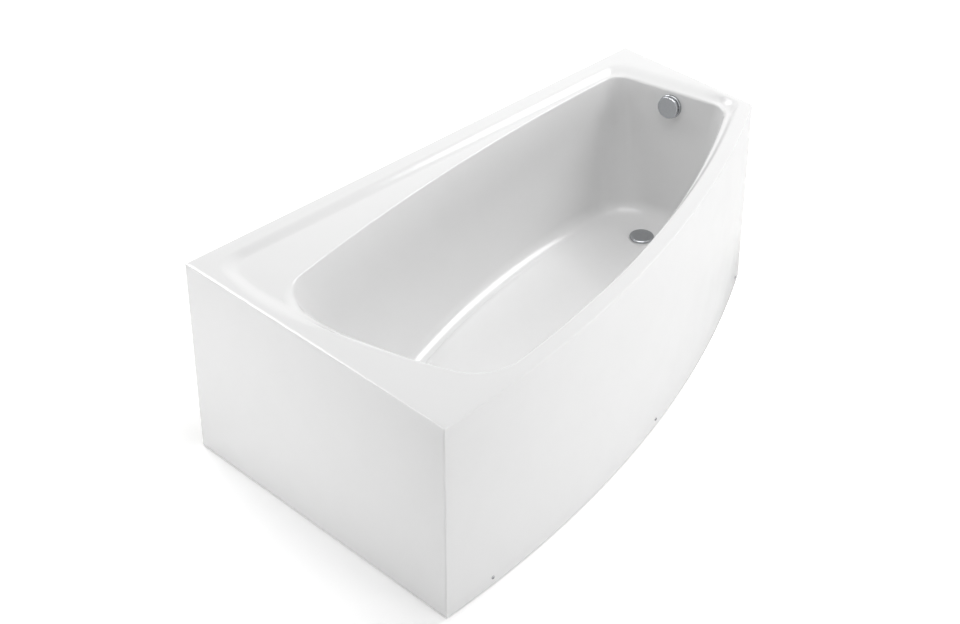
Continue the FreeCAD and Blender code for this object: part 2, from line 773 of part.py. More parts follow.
# the air in the bath: the well, its mouth up to the rim and the sunk deck, a little over the top
above_deck = "sizes.deck_depth + sizes.acrylic_thick"
well_air = fused("well_air", [
    well_block("well_inside", well_outline, floor_outline, value("floor_fillet")),
    raised("well_mouth", well_outline, above_deck),
    raised("deck_air", deck_outline, above_deck),
])

# the same three, larger by the acrylic, with the flat rim and the lip that turns down from it
well_outer = grown("well_outer", well_outline, acrylic)
floor_outer = grown("floor_outer", floor_outline, acrylic)
stand(floor_outer, "0", "0", "-" + acrylic)
deck_outer = grown("deck_outer", deck_outline, acrylic)
stand(deck_outer, "0", "0", "-" + acrylic)
well_collar = grown("well_collar", well_outline, acrylic)
stand(well_collar, "0", "0", "-" + acrylic)
rim = raised("rim", bath_outline("rim_outline", "places.rim_underside", "0", "0", "0", "0"), acrylic)
lip_outside = raised("lip_outside", bath_outline(
    "lip_outline", "places.lip_bottom", "places.lip_inset", "0", "0", "places.lip_inset"), "sizes.lip_depth")
lip_room = "places.lip_inset + " + acrylic
lip_inside = raised("lip_inside", bath_outline(
    "lip_inner_outline", "places.lip_bottom", lip_room, acrylic, acrylic, lip_room),
    "sizes.lip_depth - " + acrylic)
well_outside = well_block("well_outside", well_outer, floor_outer,
                          value("floor_fillet") + value("acrylic_thick"))
shell_block = fused("shell_block", [
    rim,
    cut("lip", lip_outside, lip_inside),
    well_outside,
    raised("deck_tray", deck_outer, "sizes.deck_depth + sizes.acrylic_thick"),
    raised("well_rim", well_collar, "sizes.deck_depth + sizes.acrylic_thick"),
])


def upright_hole(name, radius):
    """A tool for the holes under the waste."""
    tool = rod(name, radius, "sizes.overall_height")
    return from_corner(tool, "places.drain_along", "-sizes.drain_across", "0")


def face_the_well(thing, depth="0"):
    """Turns an object at the overflow so that its +Z points square out of the wall into the well."""
    thing.Placement = FreeCAD.Placement(FreeCAD.Vector(), FreeCAD.Rotation(FreeCAD.Vector(1, -1, 0), 80))
    from_corner(thing, "places.overflow_x - (%s) * places.overflow_out_x" % depth,
                "places.overflow_y - (%s) * places.overflow_out_y" % depth,
                "sizes.overflow_level - (%s) * places.overflow_out_z" % depth)
    return bind(thing, {
        "Placement.Rotation.Axis.x": "sin(places.tap_wall_turn)",
        "Placement.Rotation.Axis.y": "-cos(places.tap_wall_turn)",
        "Placement.Rotation.Angle": "90 deg - places.tap_wall_lean",
    })


overflow_tool = face_the_well(
    rod("overflow_tool", "sizes.overflow_hole_radius", "sizes.overflow_tool_length"),
    "sizes.overflow_tool_length / 2")
drain_tool = upright_hole("drain_tool", "sizes.drain_hole_radius")
tub_shell = cut("tub_shell", cut("shell_with_well", shell_block, well_air),
                fused("shell_holes", [drain_tool, overflow_tool]))
keep("tub_shell", tub_shell)

well_backed = grown("well_backed", well_outline, both_skins)
floor_backed = grown("floor_backed", floor_outline, both_skins)
stand(floor_backed, "0", "0", "-" + both_skins)
backing_block = well_block("backing_block", well_backed, floor_backed,
                           value("floor_fillet") + value("acrylic_thick") + value("glass_fibre_thick"))
backing = cut("glass_fibre_backing", cut("backing_with_well", backing_block, shell_block),
              fused("backing_holes", [drain_tool, overflow_tool]))
keep("glass_fibre_backing", backing)

board_outline = grown("board_outline", floor_outline, "-(sizes.floor_fillet + sizes.board_margin)")
stand(board_outline, "0", "0", "places.rail_top - sizes.floor_level")
board = cut("base_board", raised("board_blank", board_outline, "sizes.board_thick"),
            upright_hole("board_hole", "sizes.body_flange_radius + sizes.board_hole_gap"))
keep("base_board", board)

# ---------------------------------------------------------------- battens under the rim

batten_height = "places.rim_underside - places.batten_bottom"
keep("rim_batten_back", from_corner(
    block("rim_batten_back", ("sizes.overall_length - 2 * sizes.batten_end_gap", "sizes.batten_thick",
                              batten_height)),
    "sizes.batten_end_gap", "places.back_batten_y - sizes.batten_thick", "places.batten_bottom"))
keep("rim_batten_head", from_corner(
    block("rim_batten_head", ("sizes.batten_thick", "sizes.overall_width - 2 * sizes.batten_corner_gap",
                              batten_height)),
    "places.batten_inset", "sizes.batten_corner_gap - sizes.overall_width", "places.batten_bottom"))
keep("rim_batten_tap", from_corner(
    block("rim_batten_tap", ("sizes.batten_thick", "sizes.tap_batten_length", batten_height)),
    "sizes.overall_length - sizes.acrylic_thick - sizes.batten_gap - sizes.batten_thick",
    "-(sizes.batten_corner_gap + sizes.tap_batten_length)", "places.batten_bottom"))
keep("rim_batten_front", pad_band(
    *front_band("rim_batten_front", "places.batten_inset", "places.batten_inset + sizes.batten_thick",
                "sizes.batten_end_gap", "sizes.batten_end_gap"),
    "places.batten_bottom", batten_height))


# ---------------------------------------------------------------- steel frame

def square_tube(name, size, wall, length, along):
    """A square steel tube with open ends, lying along X or Y or standing along Z."""
    outer = [size] * 3
    inner = ["%s - 2 * %s" % (size, wall)] * 3
    outer["XYZ".index(along)] = length
    inner["XYZ".index(along)] = length
    bore = block(name + "_bore", inner)
    bind(bore, {"Placement.Base." + axis: wall for axis in "xyz" if axis != along.lower()})
    return cut(name, block(name + "_blank", outer), bore)


beam = "sizes.beam_size"
for station in STATIONS:
    along = "places.%s_station" % station
    front_y = "places.%s_beam_front_y" % station
    tube = square_tube("beam_%s_tube" % station, beam, "sizes.beam_wall",
                       "places.back_batten_y - " + front_y, "Y")
    from_corner(tube, along + " - sizes.beam_size / 2", front_y, "places.beam_bottom")
    holes = []
    for end in ("back", "front"):
        tool = rod("stud_hole_%s_%s" % (station, end), "sizes.stud_radius + sizes.stud_hole_play",
                   "2 * sizes.beam_wall")
        holes.append(from_corner(tool, along, "places.%s_%s_leg_y" % (station, end),
                                 "places.beam_bottom - sizes.beam_wall"))
    keep("cross_beam_" + station, cut("cross_beam_" + station, tube,
                                      fused("stud_holes_" + station, holes)))

rail_length = ("(places.tap_station - places.head_station + 2 * sizes.rail_overhang)"
               " / cos(sizes.rail_turn * 1 deg)")
for side in ("back", "front"):
    rail = square_tube("floor_rail_" + side, beam, "sizes.beam_wall", rail_length, "X")
    from_corner(rail, "places.head_station - sizes.rail_overhang", "-sizes.rail_%s_across" % side,
                "places.beam_top")
    bind(rail, {"Placement.Rotation.Angle": "sizes.rail_turn * 1 deg"})
    keep("floor_rail_" + side, rail)

post = "sizes.post_size"
post_bore = "sizes.post_size / 2 - sizes.post_wall"
for station in STATIONS:
    rear = square_tube("post_back_" + station, post, "sizes.post_wall",
                       "places.batten_bottom - places.beam_top", "Z")
    from_corner(rear, "places.%s_station - sizes.post_size / 2" % station,
                "places.back_batten_y - sizes.post_size", "places.beam_top")
    keep("post_back_" + station, rear)
    near = inset(FRONT, "places.post_inset")
    outside = rectangle("-sizes.post_size / 2", "sizes.post_size / 2", near, near + " + sizes.post_size")
    inside = rectangle("-(%s)" % post_bore, post_bore, near + " + sizes.post_wall",
                       near + " + sizes.post_size - sizes.post_wall")
    front_post = padded("post_front_" + station, "XY_Plane", [outside, inside],
                        "places.batten_bottom - places.beam_top - sizes.sheet_steel")
    face_the_front(front_post, station, "places.beam_top + sizes.sheet_steel")
    keep("post_front_" + station, front_post)


# ---------------------------------------------------------------- legs

def hex_nut(name, bore, height):
    """A plain six-sided nut with its bore."""
    blank = doc.addObject("Part::Prism", name + "_blank")
    blank.Polygon = 6
    bind(blank, {"Circumradius": "sizes.nut_across / sqrt(3)", "Height": height})
    return cut(name, blank, rod(name + "_bore", bore, height))


weld_nuts = []
lock_nuts = []
for station in STATIONS:
    for end in ("back", "front"):
        leg = "%s_%s" % (station, end)
        along = "places.%s_station" % station
        across = "places.%s_leg_y" % leg
        socket = "sizes.pad_height - sizes.pad_socket_depth"
        pad = turned("foot_pad_" + leg, [
            ("0", "0"), ("sizes.pad_radius", "0"), ("sizes.pad_radius", "sizes.pad_base_height"),
            ("sizes.pad_boss_radius", "sizes.pad_base_height"),
            ("sizes.pad_boss_radius", "sizes.pad_height"),
            ("sizes.stud_radius", "sizes.pad_height"), ("sizes.stud_radius", socket), ("0", socket),
        ])
        keep("foot_pad_" + leg, from_corner(pad, along, across, "0"))
        stud = rod("leg_stud_" + leg, "sizes.stud_radius",
                   "places.beam_top - sizes.beam_wall - sizes.stud_top_gap - (%s)" % socket)
        keep("leg_stud_" + leg, from_corner(stud, along, across, socket))
        bore = "sizes.stud_radius + sizes.stud_play"
        under_beam = "places.beam_bottom - sizes.nut_height"
        weld_nut = hex_nut("weld_nut_" + leg, bore, "sizes.nut_height")
        weld_nuts.append(from_corner(weld_nut, along, across, under_beam))
        lock_nut = hex_nut("lock_nut_" + leg, bore, "sizes.lock_nut_height")
        lock_nuts.append(from_corner(lock_nut, along, across, under_beam + " - sizes.lock_nut_height"))
keep("weld_nuts", together("weld_nuts", weld_nuts))
keep("lock_nuts", together("lock_nuts", lock_nuts))


# ---------------------------------------------------------------- panels

def front_screw(name, station, start, end, head_start, head_end):
    """A round screw, square to the front at a station, from one inset to another."""
    s = [inset(FRONT, amount) for amount in (head_start, head_end, start, end)]
    screw = turned(name, [
        (s[0], "0"), (s[0], "sizes.screw_head_radius"), (s[1], "sizes.screw_head_radius"),
        (s[1], "sizes.screw_radius"), (s[3], "sizes.screw_radius"), (s[3], "0"),
    ], "YZ_Plane", "H_Axis")
    return face_the_front(screw, station, "sizes.screw_height")


screws = [front_screw("panel_screw_" + station, station, "0", "sizes.screw_length",
                      "-sizes.screw_head_height", "0") for station in STATIONS]
screw_tools = [turned("screw_tool_" + station, rectangle(
    inset(FRONT, "-sizes.sheet_steel"), inset(FRONT, "sizes.screw_length"), "0", "sizes.screw_radius"),
    "YZ_Plane", "H_Axis") for station in STATIONS]
for station, tool in zip(STATIONS, screw_tools):
    face_the_front(tool, station, "sizes.screw_height")

front_skin = pad_band(*front_band("front_skin", "0", "sizes.panel_thick", "0", "0"),
                      "sizes.panel_floor_gap", "places.panel_top - sizes.panel_floor_gap")
front_flange = pad_band(*front_band("front_flange", "sizes.panel_thick", "sizes.panel_flange",
                                    "sizes.panel_flange + sizes.panel_gap", "0"),
                        "sizes.panel_floor_gap", "sizes.panel_thick")
front_panel = cut("front_panel", fused("front_panel_blank", [front_skin, front_flange]),
                  fused("front_panel_holes", screw_tools))
keep("front_panel", front_panel)

end_width = "sizes.overall_width - sizes.panel_thick - 2 * sizes.panel_gap"
end_skin = from_corner(
    block("end_skin", ("sizes.panel_thick", end_width, "places.panel_top - sizes.panel_floor_gap")),
    "0", "-(%s)" % end_width, "sizes.panel_floor_gap")
end_flange = from_corner(
    block("end_flange", ("sizes.panel_flange - sizes.panel_thick",
                         end_width + " - sizes.panel_flange", "sizes.panel_thick")),
    "sizes.panel_thick", "-(%s) + sizes.panel_flange" % end_width, "sizes.panel_floor_gap")
keep("end_panel", fused("end_panel", [end_skin, end_flange]))

keep("front_panel_strip", pad_band(
    *front_band("front_panel_strip", "sizes.panel_thick", "sizes.panel_thick + sizes.strip_thick",
                "sizes.strip_end_gap", "sizes.strip_end_gap"),
    "places.strip_bottom", "sizes.strip_height"))

strip_length = "sizes.overall_width - 2 * sizes.strip_end_gap"
end_strips = {}
for name, level in (("upper", "places.strip_bottom"), ("lower", "sizes.low_strip_level")):
    strip = block("end_panel_strip_" + name, ("sizes.strip_thick", strip_length, "sizes.strip_height"))
    end_strips[name] = from_corner(strip, "sizes.panel_thick",
                                   "sizes.strip_end_gap - sizes.overall_width", level)


def hanger(name, surface):
    """A folded steel hanger: screwed under a batten, it carries the strip on the back of a panel."""
    web = "places.hanger_inset"
    web_back = web + " + sizes.sheet_steel"
    flange_back = "places.batten_inset + sizes.batten_thick"
    toe = web + " - sizes.hanger_grip"
    low = "places.strip_bottom - sizes.sheet_steel"
    under = "places.batten_bottom - sizes.sheet_steel"
    corners = [(toe, low), (web_back, low), (web_back, under), (flange_back, under),
               (flange_back, "places.batten_bottom"), (web, "places.batten_bottom"),
               (web, "places.strip_bottom"), (toe, "places.strip_bottom")]
    corners = [(inset(surface, across), level) for across, level in corners]
    return padded(name, "YZ_Plane", [corners], "sizes.hanger_width", both_ways=True)


hangers = []
for station, shift in (("head", "sizes.hanger_offset"), ("middle", "sizes.hanger_offset"),
                       ("tap", "-sizes.hanger_offset")):
    hangers.append(face_the_front(hanger("front_hanger_" + station, FRONT), station, shift=shift))
for place in ("back", "front"):
    hangers.append(face_the_end(hanger("end_hanger_" + place, END), "sizes.end_hanger_" + place))
keep("panel_hangers", together("panel_hangers", hangers))


def foot_bracket(name, surface, gap, low, reach):
    """A folded steel angle: its long leg stands behind the panel, its short one lies on a cross beam."""
    face = inset(surface, gap)
    back = face + " + sizes.sheet_steel"
    top = "places.beam_top + sizes.sheet_steel"
    toe = inset(surface, reach)
    corners = [(face, low), (back, low), (back, "places.beam_top"), (toe, "places.beam_top"),
               (toe, top), (face, top)]
    return padded(name, "YZ_Plane", [corners], "sizes.bracket_width", both_ways=True)


front_brackets = []
for station in STATIONS:
    blank = foot_bracket("foot_bracket_blank_" + station, FRONT, "sizes.panel_thick + sizes.panel_gap",
                         "sizes.bracket_floor_gap", "sizes.bracket_reach")
    face_the_front(blank, station)
    front_brackets.append(cut("foot_bracket_" + station, blank, screw_tools[STATIONS.index(station)]))
keep("front_panel_brackets", together("front_panel_brackets", front_brackets))

end_brackets = []
end_screws = []
end_tools = []
strip_back = "sizes.panel_thick + sizes.strip_thick + sizes.panel_gap"
for place in ("back", "front"):
    across = "sizes.end_bracket_" + place
    level = "sizes.low_strip_level + sizes.strip_height / 2"
    blank = foot_bracket("end_bracket_blank_" + place, END, strip_back, "sizes.low_strip_level",
                         "places.head_station + sizes.beam_size / 2")
    face_the_end(blank, across)
    inner = strip_back + " + sizes.sheet_steel"
    tip = inner + " - (sizes.screw_length - sizes.sheet_steel)"
    tool = turned("end_screw_tool_" + place, rectangle(tip, inner, "0", "sizes.screw_radius"),
                  "YZ_Plane", "H_Axis")
    end_tools.append(face_the_end(tool, across, level))
    end_brackets.append(cut("end_bracket_" + place, blank, tool))
    screw = turned("end_screw_" + place, [
        (tip, "0"), (tip, "sizes.screw_radius"), (inner, "sizes.screw_radius"),
        (inner, "sizes.screw_head_radius"),
        (inner + " + sizes.screw_head_height", "sizes.screw_head_radius"),
        (inner + " + sizes.screw_head_height", "0"),
    ], "YZ_Plane", "H_Axis")
    end_screws.append(face_the_end(screw, across, level))
keep("end_panel_brackets", together("end_panel_brackets", end_brackets))
keep("panel_screws", together("panel_screws", screws + end_screws))
low_strip = cut("lower_strip", end_strips["lower"], fused("lower_strip_holes", end_tools))
keep("end_panel_strips", together("end_panel_strips", [end_strips["upper"], low_strip]))

leg = "sizes.panel_thick + sizes.corner_angle_leg"
corner_x = "sizes.panel_thick + sizes.corner_angle_thick"
corner_angle = padded("corner_angle", "XY_Plane", [[
    ("sizes.panel_thick", "places.corner_y"), (leg, "places.corner_y"),
    (leg, "places.corner_y + sizes.corner_angle_thick"),
    (corner_x, "places.corner_y + sizes.corner_angle_thick"),
    (corner_x, "places.corner_y + sizes.corner_angle_leg"),
    ("sizes.panel_thick", "places.corner_y + sizes.corner_angle_leg"),
]], "places.strip_bottom - 2 * sizes.low_strip_level")
from_corner(corner_angle, "0", "0", "sizes.low_strip_level")
keep("corner_angle", corner_angle)


# ---------------------------------------------------------------- wall hooks

shelf = "places.lip_bottom - sizes.panel_gap"
plate = "-sizes.hook_plate_thick"
riser = "-(sizes.acrylic_thick + sizes.hook_gap)"
riser_back = riser + " - sizes.hook_plate_thick"
hook_low = shelf + " - sizes.hook_plate_height"
hooks = []
for name, along in (("head", "sizes.hook_from_end"), ("tap", "sizes.overall_length - sizes.hook_from_end")):
    blank = padded("hook_blank_" + name, "YZ_Plane", [[
        ("0", hook_low), ("0", shelf), (riser, shelf), (riser, "places.lip_bottom + sizes.hook_rise"),
        (riser_back, "places.lip_bottom + sizes.hook_rise"),
        (riser_back, shelf + " - sizes.hook_plate_thick"),
        (plate, shelf + " - sizes.hook_plate_thick"), (plate, hook_low),
    ]], "sizes.hook_width", both_ways=True)
    from_corner(blank, along, "0", "0")
    holes = []
    for hole, shift in (("near", "-"), ("far", "+")):
        tool = rod("hook_hole_%s_%s" % (name, hole), "sizes.hook_hole_radius", "3 * sizes.hook_plate_thick")
        tool.Placement = FreeCAD.Placement(FreeCAD.Vector(), FreeCAD.Rotation(FreeCAD.Vector(1, 0, 0), 90))
        holes.append(from_corner(tool, "%s %s sizes.hook_hole_spacing / 2" % (along, shift),
                                 "sizes.hook_plate_thick", "places.hook_hole_level"))
    hooks.append(cut("wall_hook_" + name, blank, fused("hook_holes_" + name, holes)))
keep("wall_hooks", together("wall_hooks", hooks))


# ---------------------------------------------------------------- waste in the floor

def over_drain(thing, level="0", turn=None):
    """Stands a thing on the axis of the waste."""
    from_corner(thing, "places.drain_along", "-sizes.drain_across", level)
    if turn:
        bind(thing, {"Placement.Rotation.Angle": turn})
    return thing


def spider(name, hub_radius, reach, level, depth):
    """A hub held by two crossing bars, with its top at a level."""
    low = "%s - %s" % (level, depth)
    pieces = [over_drain(rod(name + "_hub", hub_radius, depth), low)]
    for bar, turn in (("bar", "0 deg"), ("cross_bar", "90 deg")):
        corners = rectangle("-(%s)" % reach, reach, "-sizes.spoke_width / 2", "sizes.spoke_width / 2")
        thing = padded("%s_%s" % (name, bar), "XY_Plane", [corners], depth)
        pieces.append(over_drain(thing, low, turn))
    return pieces


floor = "sizes.floor_level"
flange_top = floor + " + sizes.drain_flange_thick"
throat = "sizes.drain_throat_radius"
throat_low = floor + " - sizes.drain_throat_depth"
flange_ring = over_drain(turned("drain_flange_ring", [
    (throat, flange_top), ("sizes.drain_flange_radius - sizes.drain_flange_thick", flange_top),
    ("sizes.drain_flange_radius", floor), ("sizes.drain_tube_radius", floor),
    ("sizes.drain_tube_radius", throat_low), (throat, throat_low),
]))
stem_bore = "sizes.plug_stem_radius + sizes.plug_guide_play"
keep("drain_flange", cut(
    "drain_flange",
    fused("drain_flange_blank", [flange_ring] + spider("flange_spider", "sizes.guide_hub_radius",
                                                       throat + " + sizes.spoke_bite", floor,
                                                       "sizes.guide_hub_depth")),
    upright_hole("stem_bore", stem_bore)))

under_plug = flange_top + " + sizes.plug_gap"
plug_top = under_plug + " + sizes.plug_thick"
keep("drain_plug", over_drain(turned("drain_plug", [
    ("0", plug_top), ("sizes.plug_radius - sizes.plug_edge", plug_top),
    ("sizes.plug_radius", plug_top + " - sizes.plug_edge"), ("sizes.plug_radius", under_plug),
    ("sizes.plug_stem_radius", under_plug), ("sizes.plug_stem_radius", "places.stem_end"),
    ("0", "places.stem_end"),
])))
keep("plug_seal", over_drain(ring(
    "plug_seal", "sizes.plug_seal_bore", throat + " - sizes.plug_gap",
    under_plug + " - (sizes.drain_flange_thick - sizes.plug_gap)", under_plug)))
keep("drain_gasket", over_drain(ring(
    "drain_gasket", "sizes.drain_tube_radius", "sizes.body_flange_radius",
    "places.board_top - sizes.seal_thick", "places.board_top")))

body_top = "places.board_top - sizes.seal_thick"
body_wall = "sizes.drain_tube_radius + sizes.body_wall"
dip = "sizes.dip_tube_radius"
dip_outer = "sizes.outlet_radius"
body_solid = over_drain(turned("body_solid", [
    ("0", body_top), ("sizes.body_flange_radius", body_top),
    ("sizes.body_flange_radius", body_top + " - sizes.body_flange_thick"),
    (body_wall, body_top + " - sizes.body_flange_thick"), (body_wall, "places.body_bottom"),
    (dip_outer, "places.body_bottom"), (dip_outer, "places.dip_bottom"), ("0", "places.dip_bottom"),
]), turn="places.pipe_turn")
body_room = over_drain(turned("body_room", [
    ("0", "places.board_top"), ("sizes.drain_tube_radius", "places.board_top"),
    ("sizes.drain_tube_radius", "places.body_bottom + sizes.body_flange_thick"),
    (dip, "places.body_bottom + sizes.body_flange_thick"), (dip, "places.dip_bottom - sizes.seal_thick"),
    ("0", "places.dip_bottom - sizes.seal_thick"),
]), turn="places.pipe_turn")
inlet = turned("drain_inlet", rectangle(throat, "sizes.inlet_reach", "0", "sizes.overflow_pipe_radius"),
               axis="H_Axis")
over_drain(inlet, "sizes.overflow_pipe_level", "places.pipe_turn - 180 deg")
inlet_bore = turned("drain_inlet_bore", rectangle(
    "sizes.overflow_pipe_bore", "sizes.inlet_reach + sizes.seal_thick", "0", "sizes.overflow_pipe_bore"),
    axis="H_Axis")
over_drain(inlet_bore, "sizes.overflow_pipe_level", "places.pipe_turn - 180 deg")
cable_gland = turned("cable_gland", rectangle("sizes.gland_start", "sizes.gland_reach", "0",
                                              "sizes.gland_radius"), axis="H_Axis")
stand(cable_gland, "places.cable_end_x", "places.cable_end_y", "sizes.overflow_pipe_level")
bind(cable_gland, {"Placement.Rotation.Angle": "places.pipe_turn - 180 deg"})
hollow_body = cut("hollow_body", fused("body_blank", [body_solid, inlet, cable_gland]),
                  fused("body_hollows", [body_room, inlet_bore]))
body_spider = spider("body_spider", "sizes.guide_hub_radius", dip + " + sizes.spoke_bite",
                     "places.body_bottom", "sizes.guide_hub_depth")
keep("drain_body", cut("drain_body", fused("body_with_guide", [hollow_body] + body_spider),
                       upright_hole("lift_bore", "sizes.lift_rod_radius + sizes.plug_guide_play")))
keep("lift_rod", over_drain(rod("lift_rod", "sizes.lift_rod_radius",
                                "places.stem_end - sizes.plug_gap - places.lift_rod_bottom"),
                            "places.lift_rod_bottom"))

trap_top = "sizes.trap_floor_gap + sizes.trap_height"
trap_inside = "sizes.trap_radius - sizes.trap_wall"
trap_blank = over_drain(turned("trap_blank", [
    ("0", "sizes.trap_floor_gap"), ("sizes.trap_radius", "sizes.trap_floor_gap"),
    ("sizes.trap_radius", trap_top), (trap_inside, trap_top),
    (trap_inside, "sizes.trap_floor_gap + sizes.trap_wall"), ("0", "sizes.trap_floor_gap + sizes.trap_wall"),
]))
neck = "sizes.outlet_neck_radius"
outlet_tool = over_drain(turned("outlet_tool", rectangle("0", "sizes.trap_radius + sizes.trap_wall", "0",
                                                         neck), axis="H_Axis"), "sizes.outlet_level")
keep("trap_cup", cut("trap_cup", trap_blank, outlet_tool))
keep("trap_head", over_drain(turned("trap_head", [
    (dip_outer, trap_top), ("sizes.trap_radius", trap_top),
    ("sizes.trap_radius", trap_top + " + sizes.trap_head_thick"),
    ("sizes.slip_nut_radius", trap_top + " + sizes.trap_head_thick"),
    ("sizes.slip_nut_radius", "places.body_bottom"), (dip_outer, "places.body_bottom"),
])))
nut_end = "sizes.trap_radius + sizes.slip_nut_length"
neck_end = nut_end + " + sizes.outlet_neck_show"
keep("waste_outlet", over_drain(turned("waste_outlet", [
    (trap_inside, "sizes.outlet_bore"), ("sizes.outlet_length", "sizes.outlet_bore"),
    ("sizes.outlet_length", "sizes.outlet_radius"), (neck_end, "sizes.outlet_radius"),
    (neck_end, neck), (trap_inside, neck),
], axis="H_Axis"), "sizes.outlet_level"))
keep("outlet_nut", over_drain(turned("outlet_nut", rectangle(
    "sizes.trap_radius", nut_end, neck, "sizes.slip_nut_radius"), axis="H_Axis"),
    "sizes.outlet_level"))


# ---------------------------------------------------------------- overflow and turning control

keep("overflow_rosette", face_the_well(turned("overflow_rosette", [
    ("sizes.overflow_hole_radius", "0"), ("sizes.rosette_radius", "0"),
    ("sizes.rosette_radius", "sizes.rosette_thick - sizes.plug_edge"),
    ("sizes.rosette_radius - sizes.plug_edge", "sizes.rosette_thick"),
    ("sizes.overflow_hole_radius", "sizes.rosette_thick"),
]), "-sizes.wall_twist_room"))

spindle = "sizes.spindle_radius"
knob_low = "sizes.rosette_thick + sizes.knob_gap"
knob_face = knob_low + " + sizes.knob_thick"
skirt = "sizes.knob_radius - sizes.knob_wall"
keep("overflow_knob", face_the_well(turned("overflow_knob", [
    ("0", knob_face), ("sizes.knob_radius - sizes.plug_edge", knob_face),
    ("sizes.knob_radius", knob_face + " - sizes.plug_edge"), ("sizes.knob_radius", knob_low),
    (skirt, knob_low), (skirt, knob_face + " - sizes.knob_wall"),
    (spindle, knob_face + " - sizes.knob_wall"), (spindle, "-places.spindle_end"),
    ("0", "-places.spindle_end"),
])))
cup_front = "-(places.wall_thick + sizes.seal_thick)"
cup_back = "-places.cup_back"
keep("overflow_gasket", face_the_well(ring(
    "overflow_gasket", "sizes.overflow_hole_radius", "sizes.overflow_cup_radius",
    cup_front, "-places.wall_thick")))
cup_wall = "sizes.overflow_cup_wall"
cup_inside = "sizes.overflow_cup_radius - sizes.overflow_cup_wall"
cup_turned = face_the_well(turned("overflow_cup_turned", [
    (spindle + " + sizes.spindle_play", cup_back), ("sizes.overflow_cup_radius", cup_back),
    ("sizes.overflow_cup_radius", cup_front), (cup_inside, cup_front),
    (cup_inside, "%s + %s" % (cup_back, cup_wall)), ("2 * " + spindle, "%s + %s" % (cup_back, cup_wall)),
    ("2 * " + spindle, "%s + 3 * %s" % (cup_back, cup_wall)),
    (spindle + " + sizes.spindle_play", "%s + 3 * %s" % (cup_back, cup_wall)),
]))
cup_room = face_the_well(rod("overflow_cup_room", cup_inside, "sizes.overflow_cup_depth - " + cup_wall),
                         "places.cup_back - " + cup_wall)
stub = ring("overflow_stub", "sizes.overflow_pipe_bore", "sizes.overflow_pipe_radius",
            "places.pipe_top", "places.cup_level")
stand(stub, "places.head_x + places.cup_x", "places.back_y + places.cup_y", "0")
clamp = turned("cable_clamp", rectangle("0", "sizes.gland_radius", "places.cable_top",
                                        "places.cup_level"))
stand(clamp, "places.cable_x", "places.cable_y", "0")
stub_bore = rod("overflow_stub_bore", "sizes.overflow_pipe_bore", "places.cup_level - places.pipe_top")
stand(stub_bore, "places.head_x + places.cup_x", "places.back_y + places.cup_y", "places.pipe_top")
stubs = cut("overflow_stubs", fused("overflow_stubs_blank", [stub, clamp]), cup_room)
keep("overflow_cup", cut("overflow_cup", fused("overflow_cup_blank", [cup_turned, stubs]), stub_bore))
crank_rear = "%s + 3 * %s + sizes.crank_gap" % (cup_back, cup_wall)
keep("cable_crank", face_the_well(ring(
    "cable_crank", spindle, "sizes.crank_radius", crank_rear, crank_rear + " + sizes.crank_thick")))


def swept_down(name, x, y, top, loops, reach):
    """A pipe or a cable that drops from a level, bends once and runs level towards the waste."""
    body = new_body(name)
    stand(body, x, y, top)
    bind(body, {"Placement.Rotation.Angle": "places.pipe_turn"})
    drop = "(%s - sizes.overflow_pipe_level)" % top
    bend = "sizes.overflow_pipe_bend"
    path = sketch_on(body, name + "_path", "XZ_Plane")
    r = value("overflow_pipe_bend")
    start = FreeCAD.Vector(0, 0, 0)
    above_bend = FreeCAD.Vector(0, -r, 0)
    low = FreeCAD.Vector(r, -2 * r, 0)
    path.addGeometry(Part.LineSegment(start, above_bend), False)
    path.addGeometry(arc_between(FreeCAD.Vector(r, -r, 0), r, above_bend, low), False)
    path.addGeometry(Part.LineSegment(low, low + FreeCAD.Vector(r, 0, 0)), False)
    relate(path, "Coincident", 0, 1, -1, 1)
    relate(path, "Vertical", 0)
    relate(path, "Horizontal", 2)
    relate(path, "Tangent", 0, 2, 1, 1)
    relate(path, "Tangent", 1, 2, 2, 1)
    constrain(path, "Radius", 1, text=bend, first_value=r)
    constrain(path, "DistanceY", 2, 2, -1, 1, text=drop, first_value=2 * r)
    constrain(path, "DistanceX", -1, 1, 2, 2, text=reach, first_value=2 * r)
    section = sketch_on(body, name + "_section", "XY_Plane")
    for n, radius in enumerate(loops):
        section.addGeometry(Part.Circle(FreeCAD.Vector(0, 0, 0), UP, value(radius)), False)
        relate(section, "Coincident", n, 3, -1, 1)
        constrain_to_cell(section, "Radius", n, alias=radius)
    sweep = body.newObject("PartDesign::AdditivePipe", name + "_sweep")
    sweep.Profile = section
    sweep.Spine = path
    body.Tip = sweep
    return body


keep("overflow_pipe", swept_down(
    "overflow_pipe", "places.head_x + places.cup_x", "places.back_y + places.cup_y", "places.pipe_top",
    ["overflow_pipe_radius", "overflow_pipe_bore"], "places.pipe_run - sizes.inlet_reach"))
keep("control_cable", swept_down(
    "control_cable", "places.cable_x", "places.cable_y", "places.cable_top",
    ["cable_radius"], "places.pipe_run - sizes.gland_reach"))
pipe_nuts = []
upper_nut = ring("upper_pipe_nut", "sizes.overflow_pipe_radius", "sizes.pipe_nut_radius",
                 "places.pipe_top - sizes.pipe_nut_length / 2",
                 "places.pipe_top + sizes.pipe_nut_length / 2")
stand(upper_nut, "places.head_x + places.cup_x", "places.back_y + places.cup_y", "0")
lower_nut = turned("lower_pipe_nut", rectangle(
    "sizes.inlet_reach - sizes.pipe_nut_length / 2", "sizes.inlet_reach + sizes.pipe_nut_length / 2",
    "sizes.overflow_pipe_radius", "sizes.pipe_nut_radius"), axis="H_Axis")
over_drain(lower_nut, "sizes.overflow_pipe_level", "places.pipe_turn - 180 deg")
keep("pipe_nuts", together("pipe_nuts", [upper_nut, lower_nut]))


# ---------------------------------------------------------------- check and write

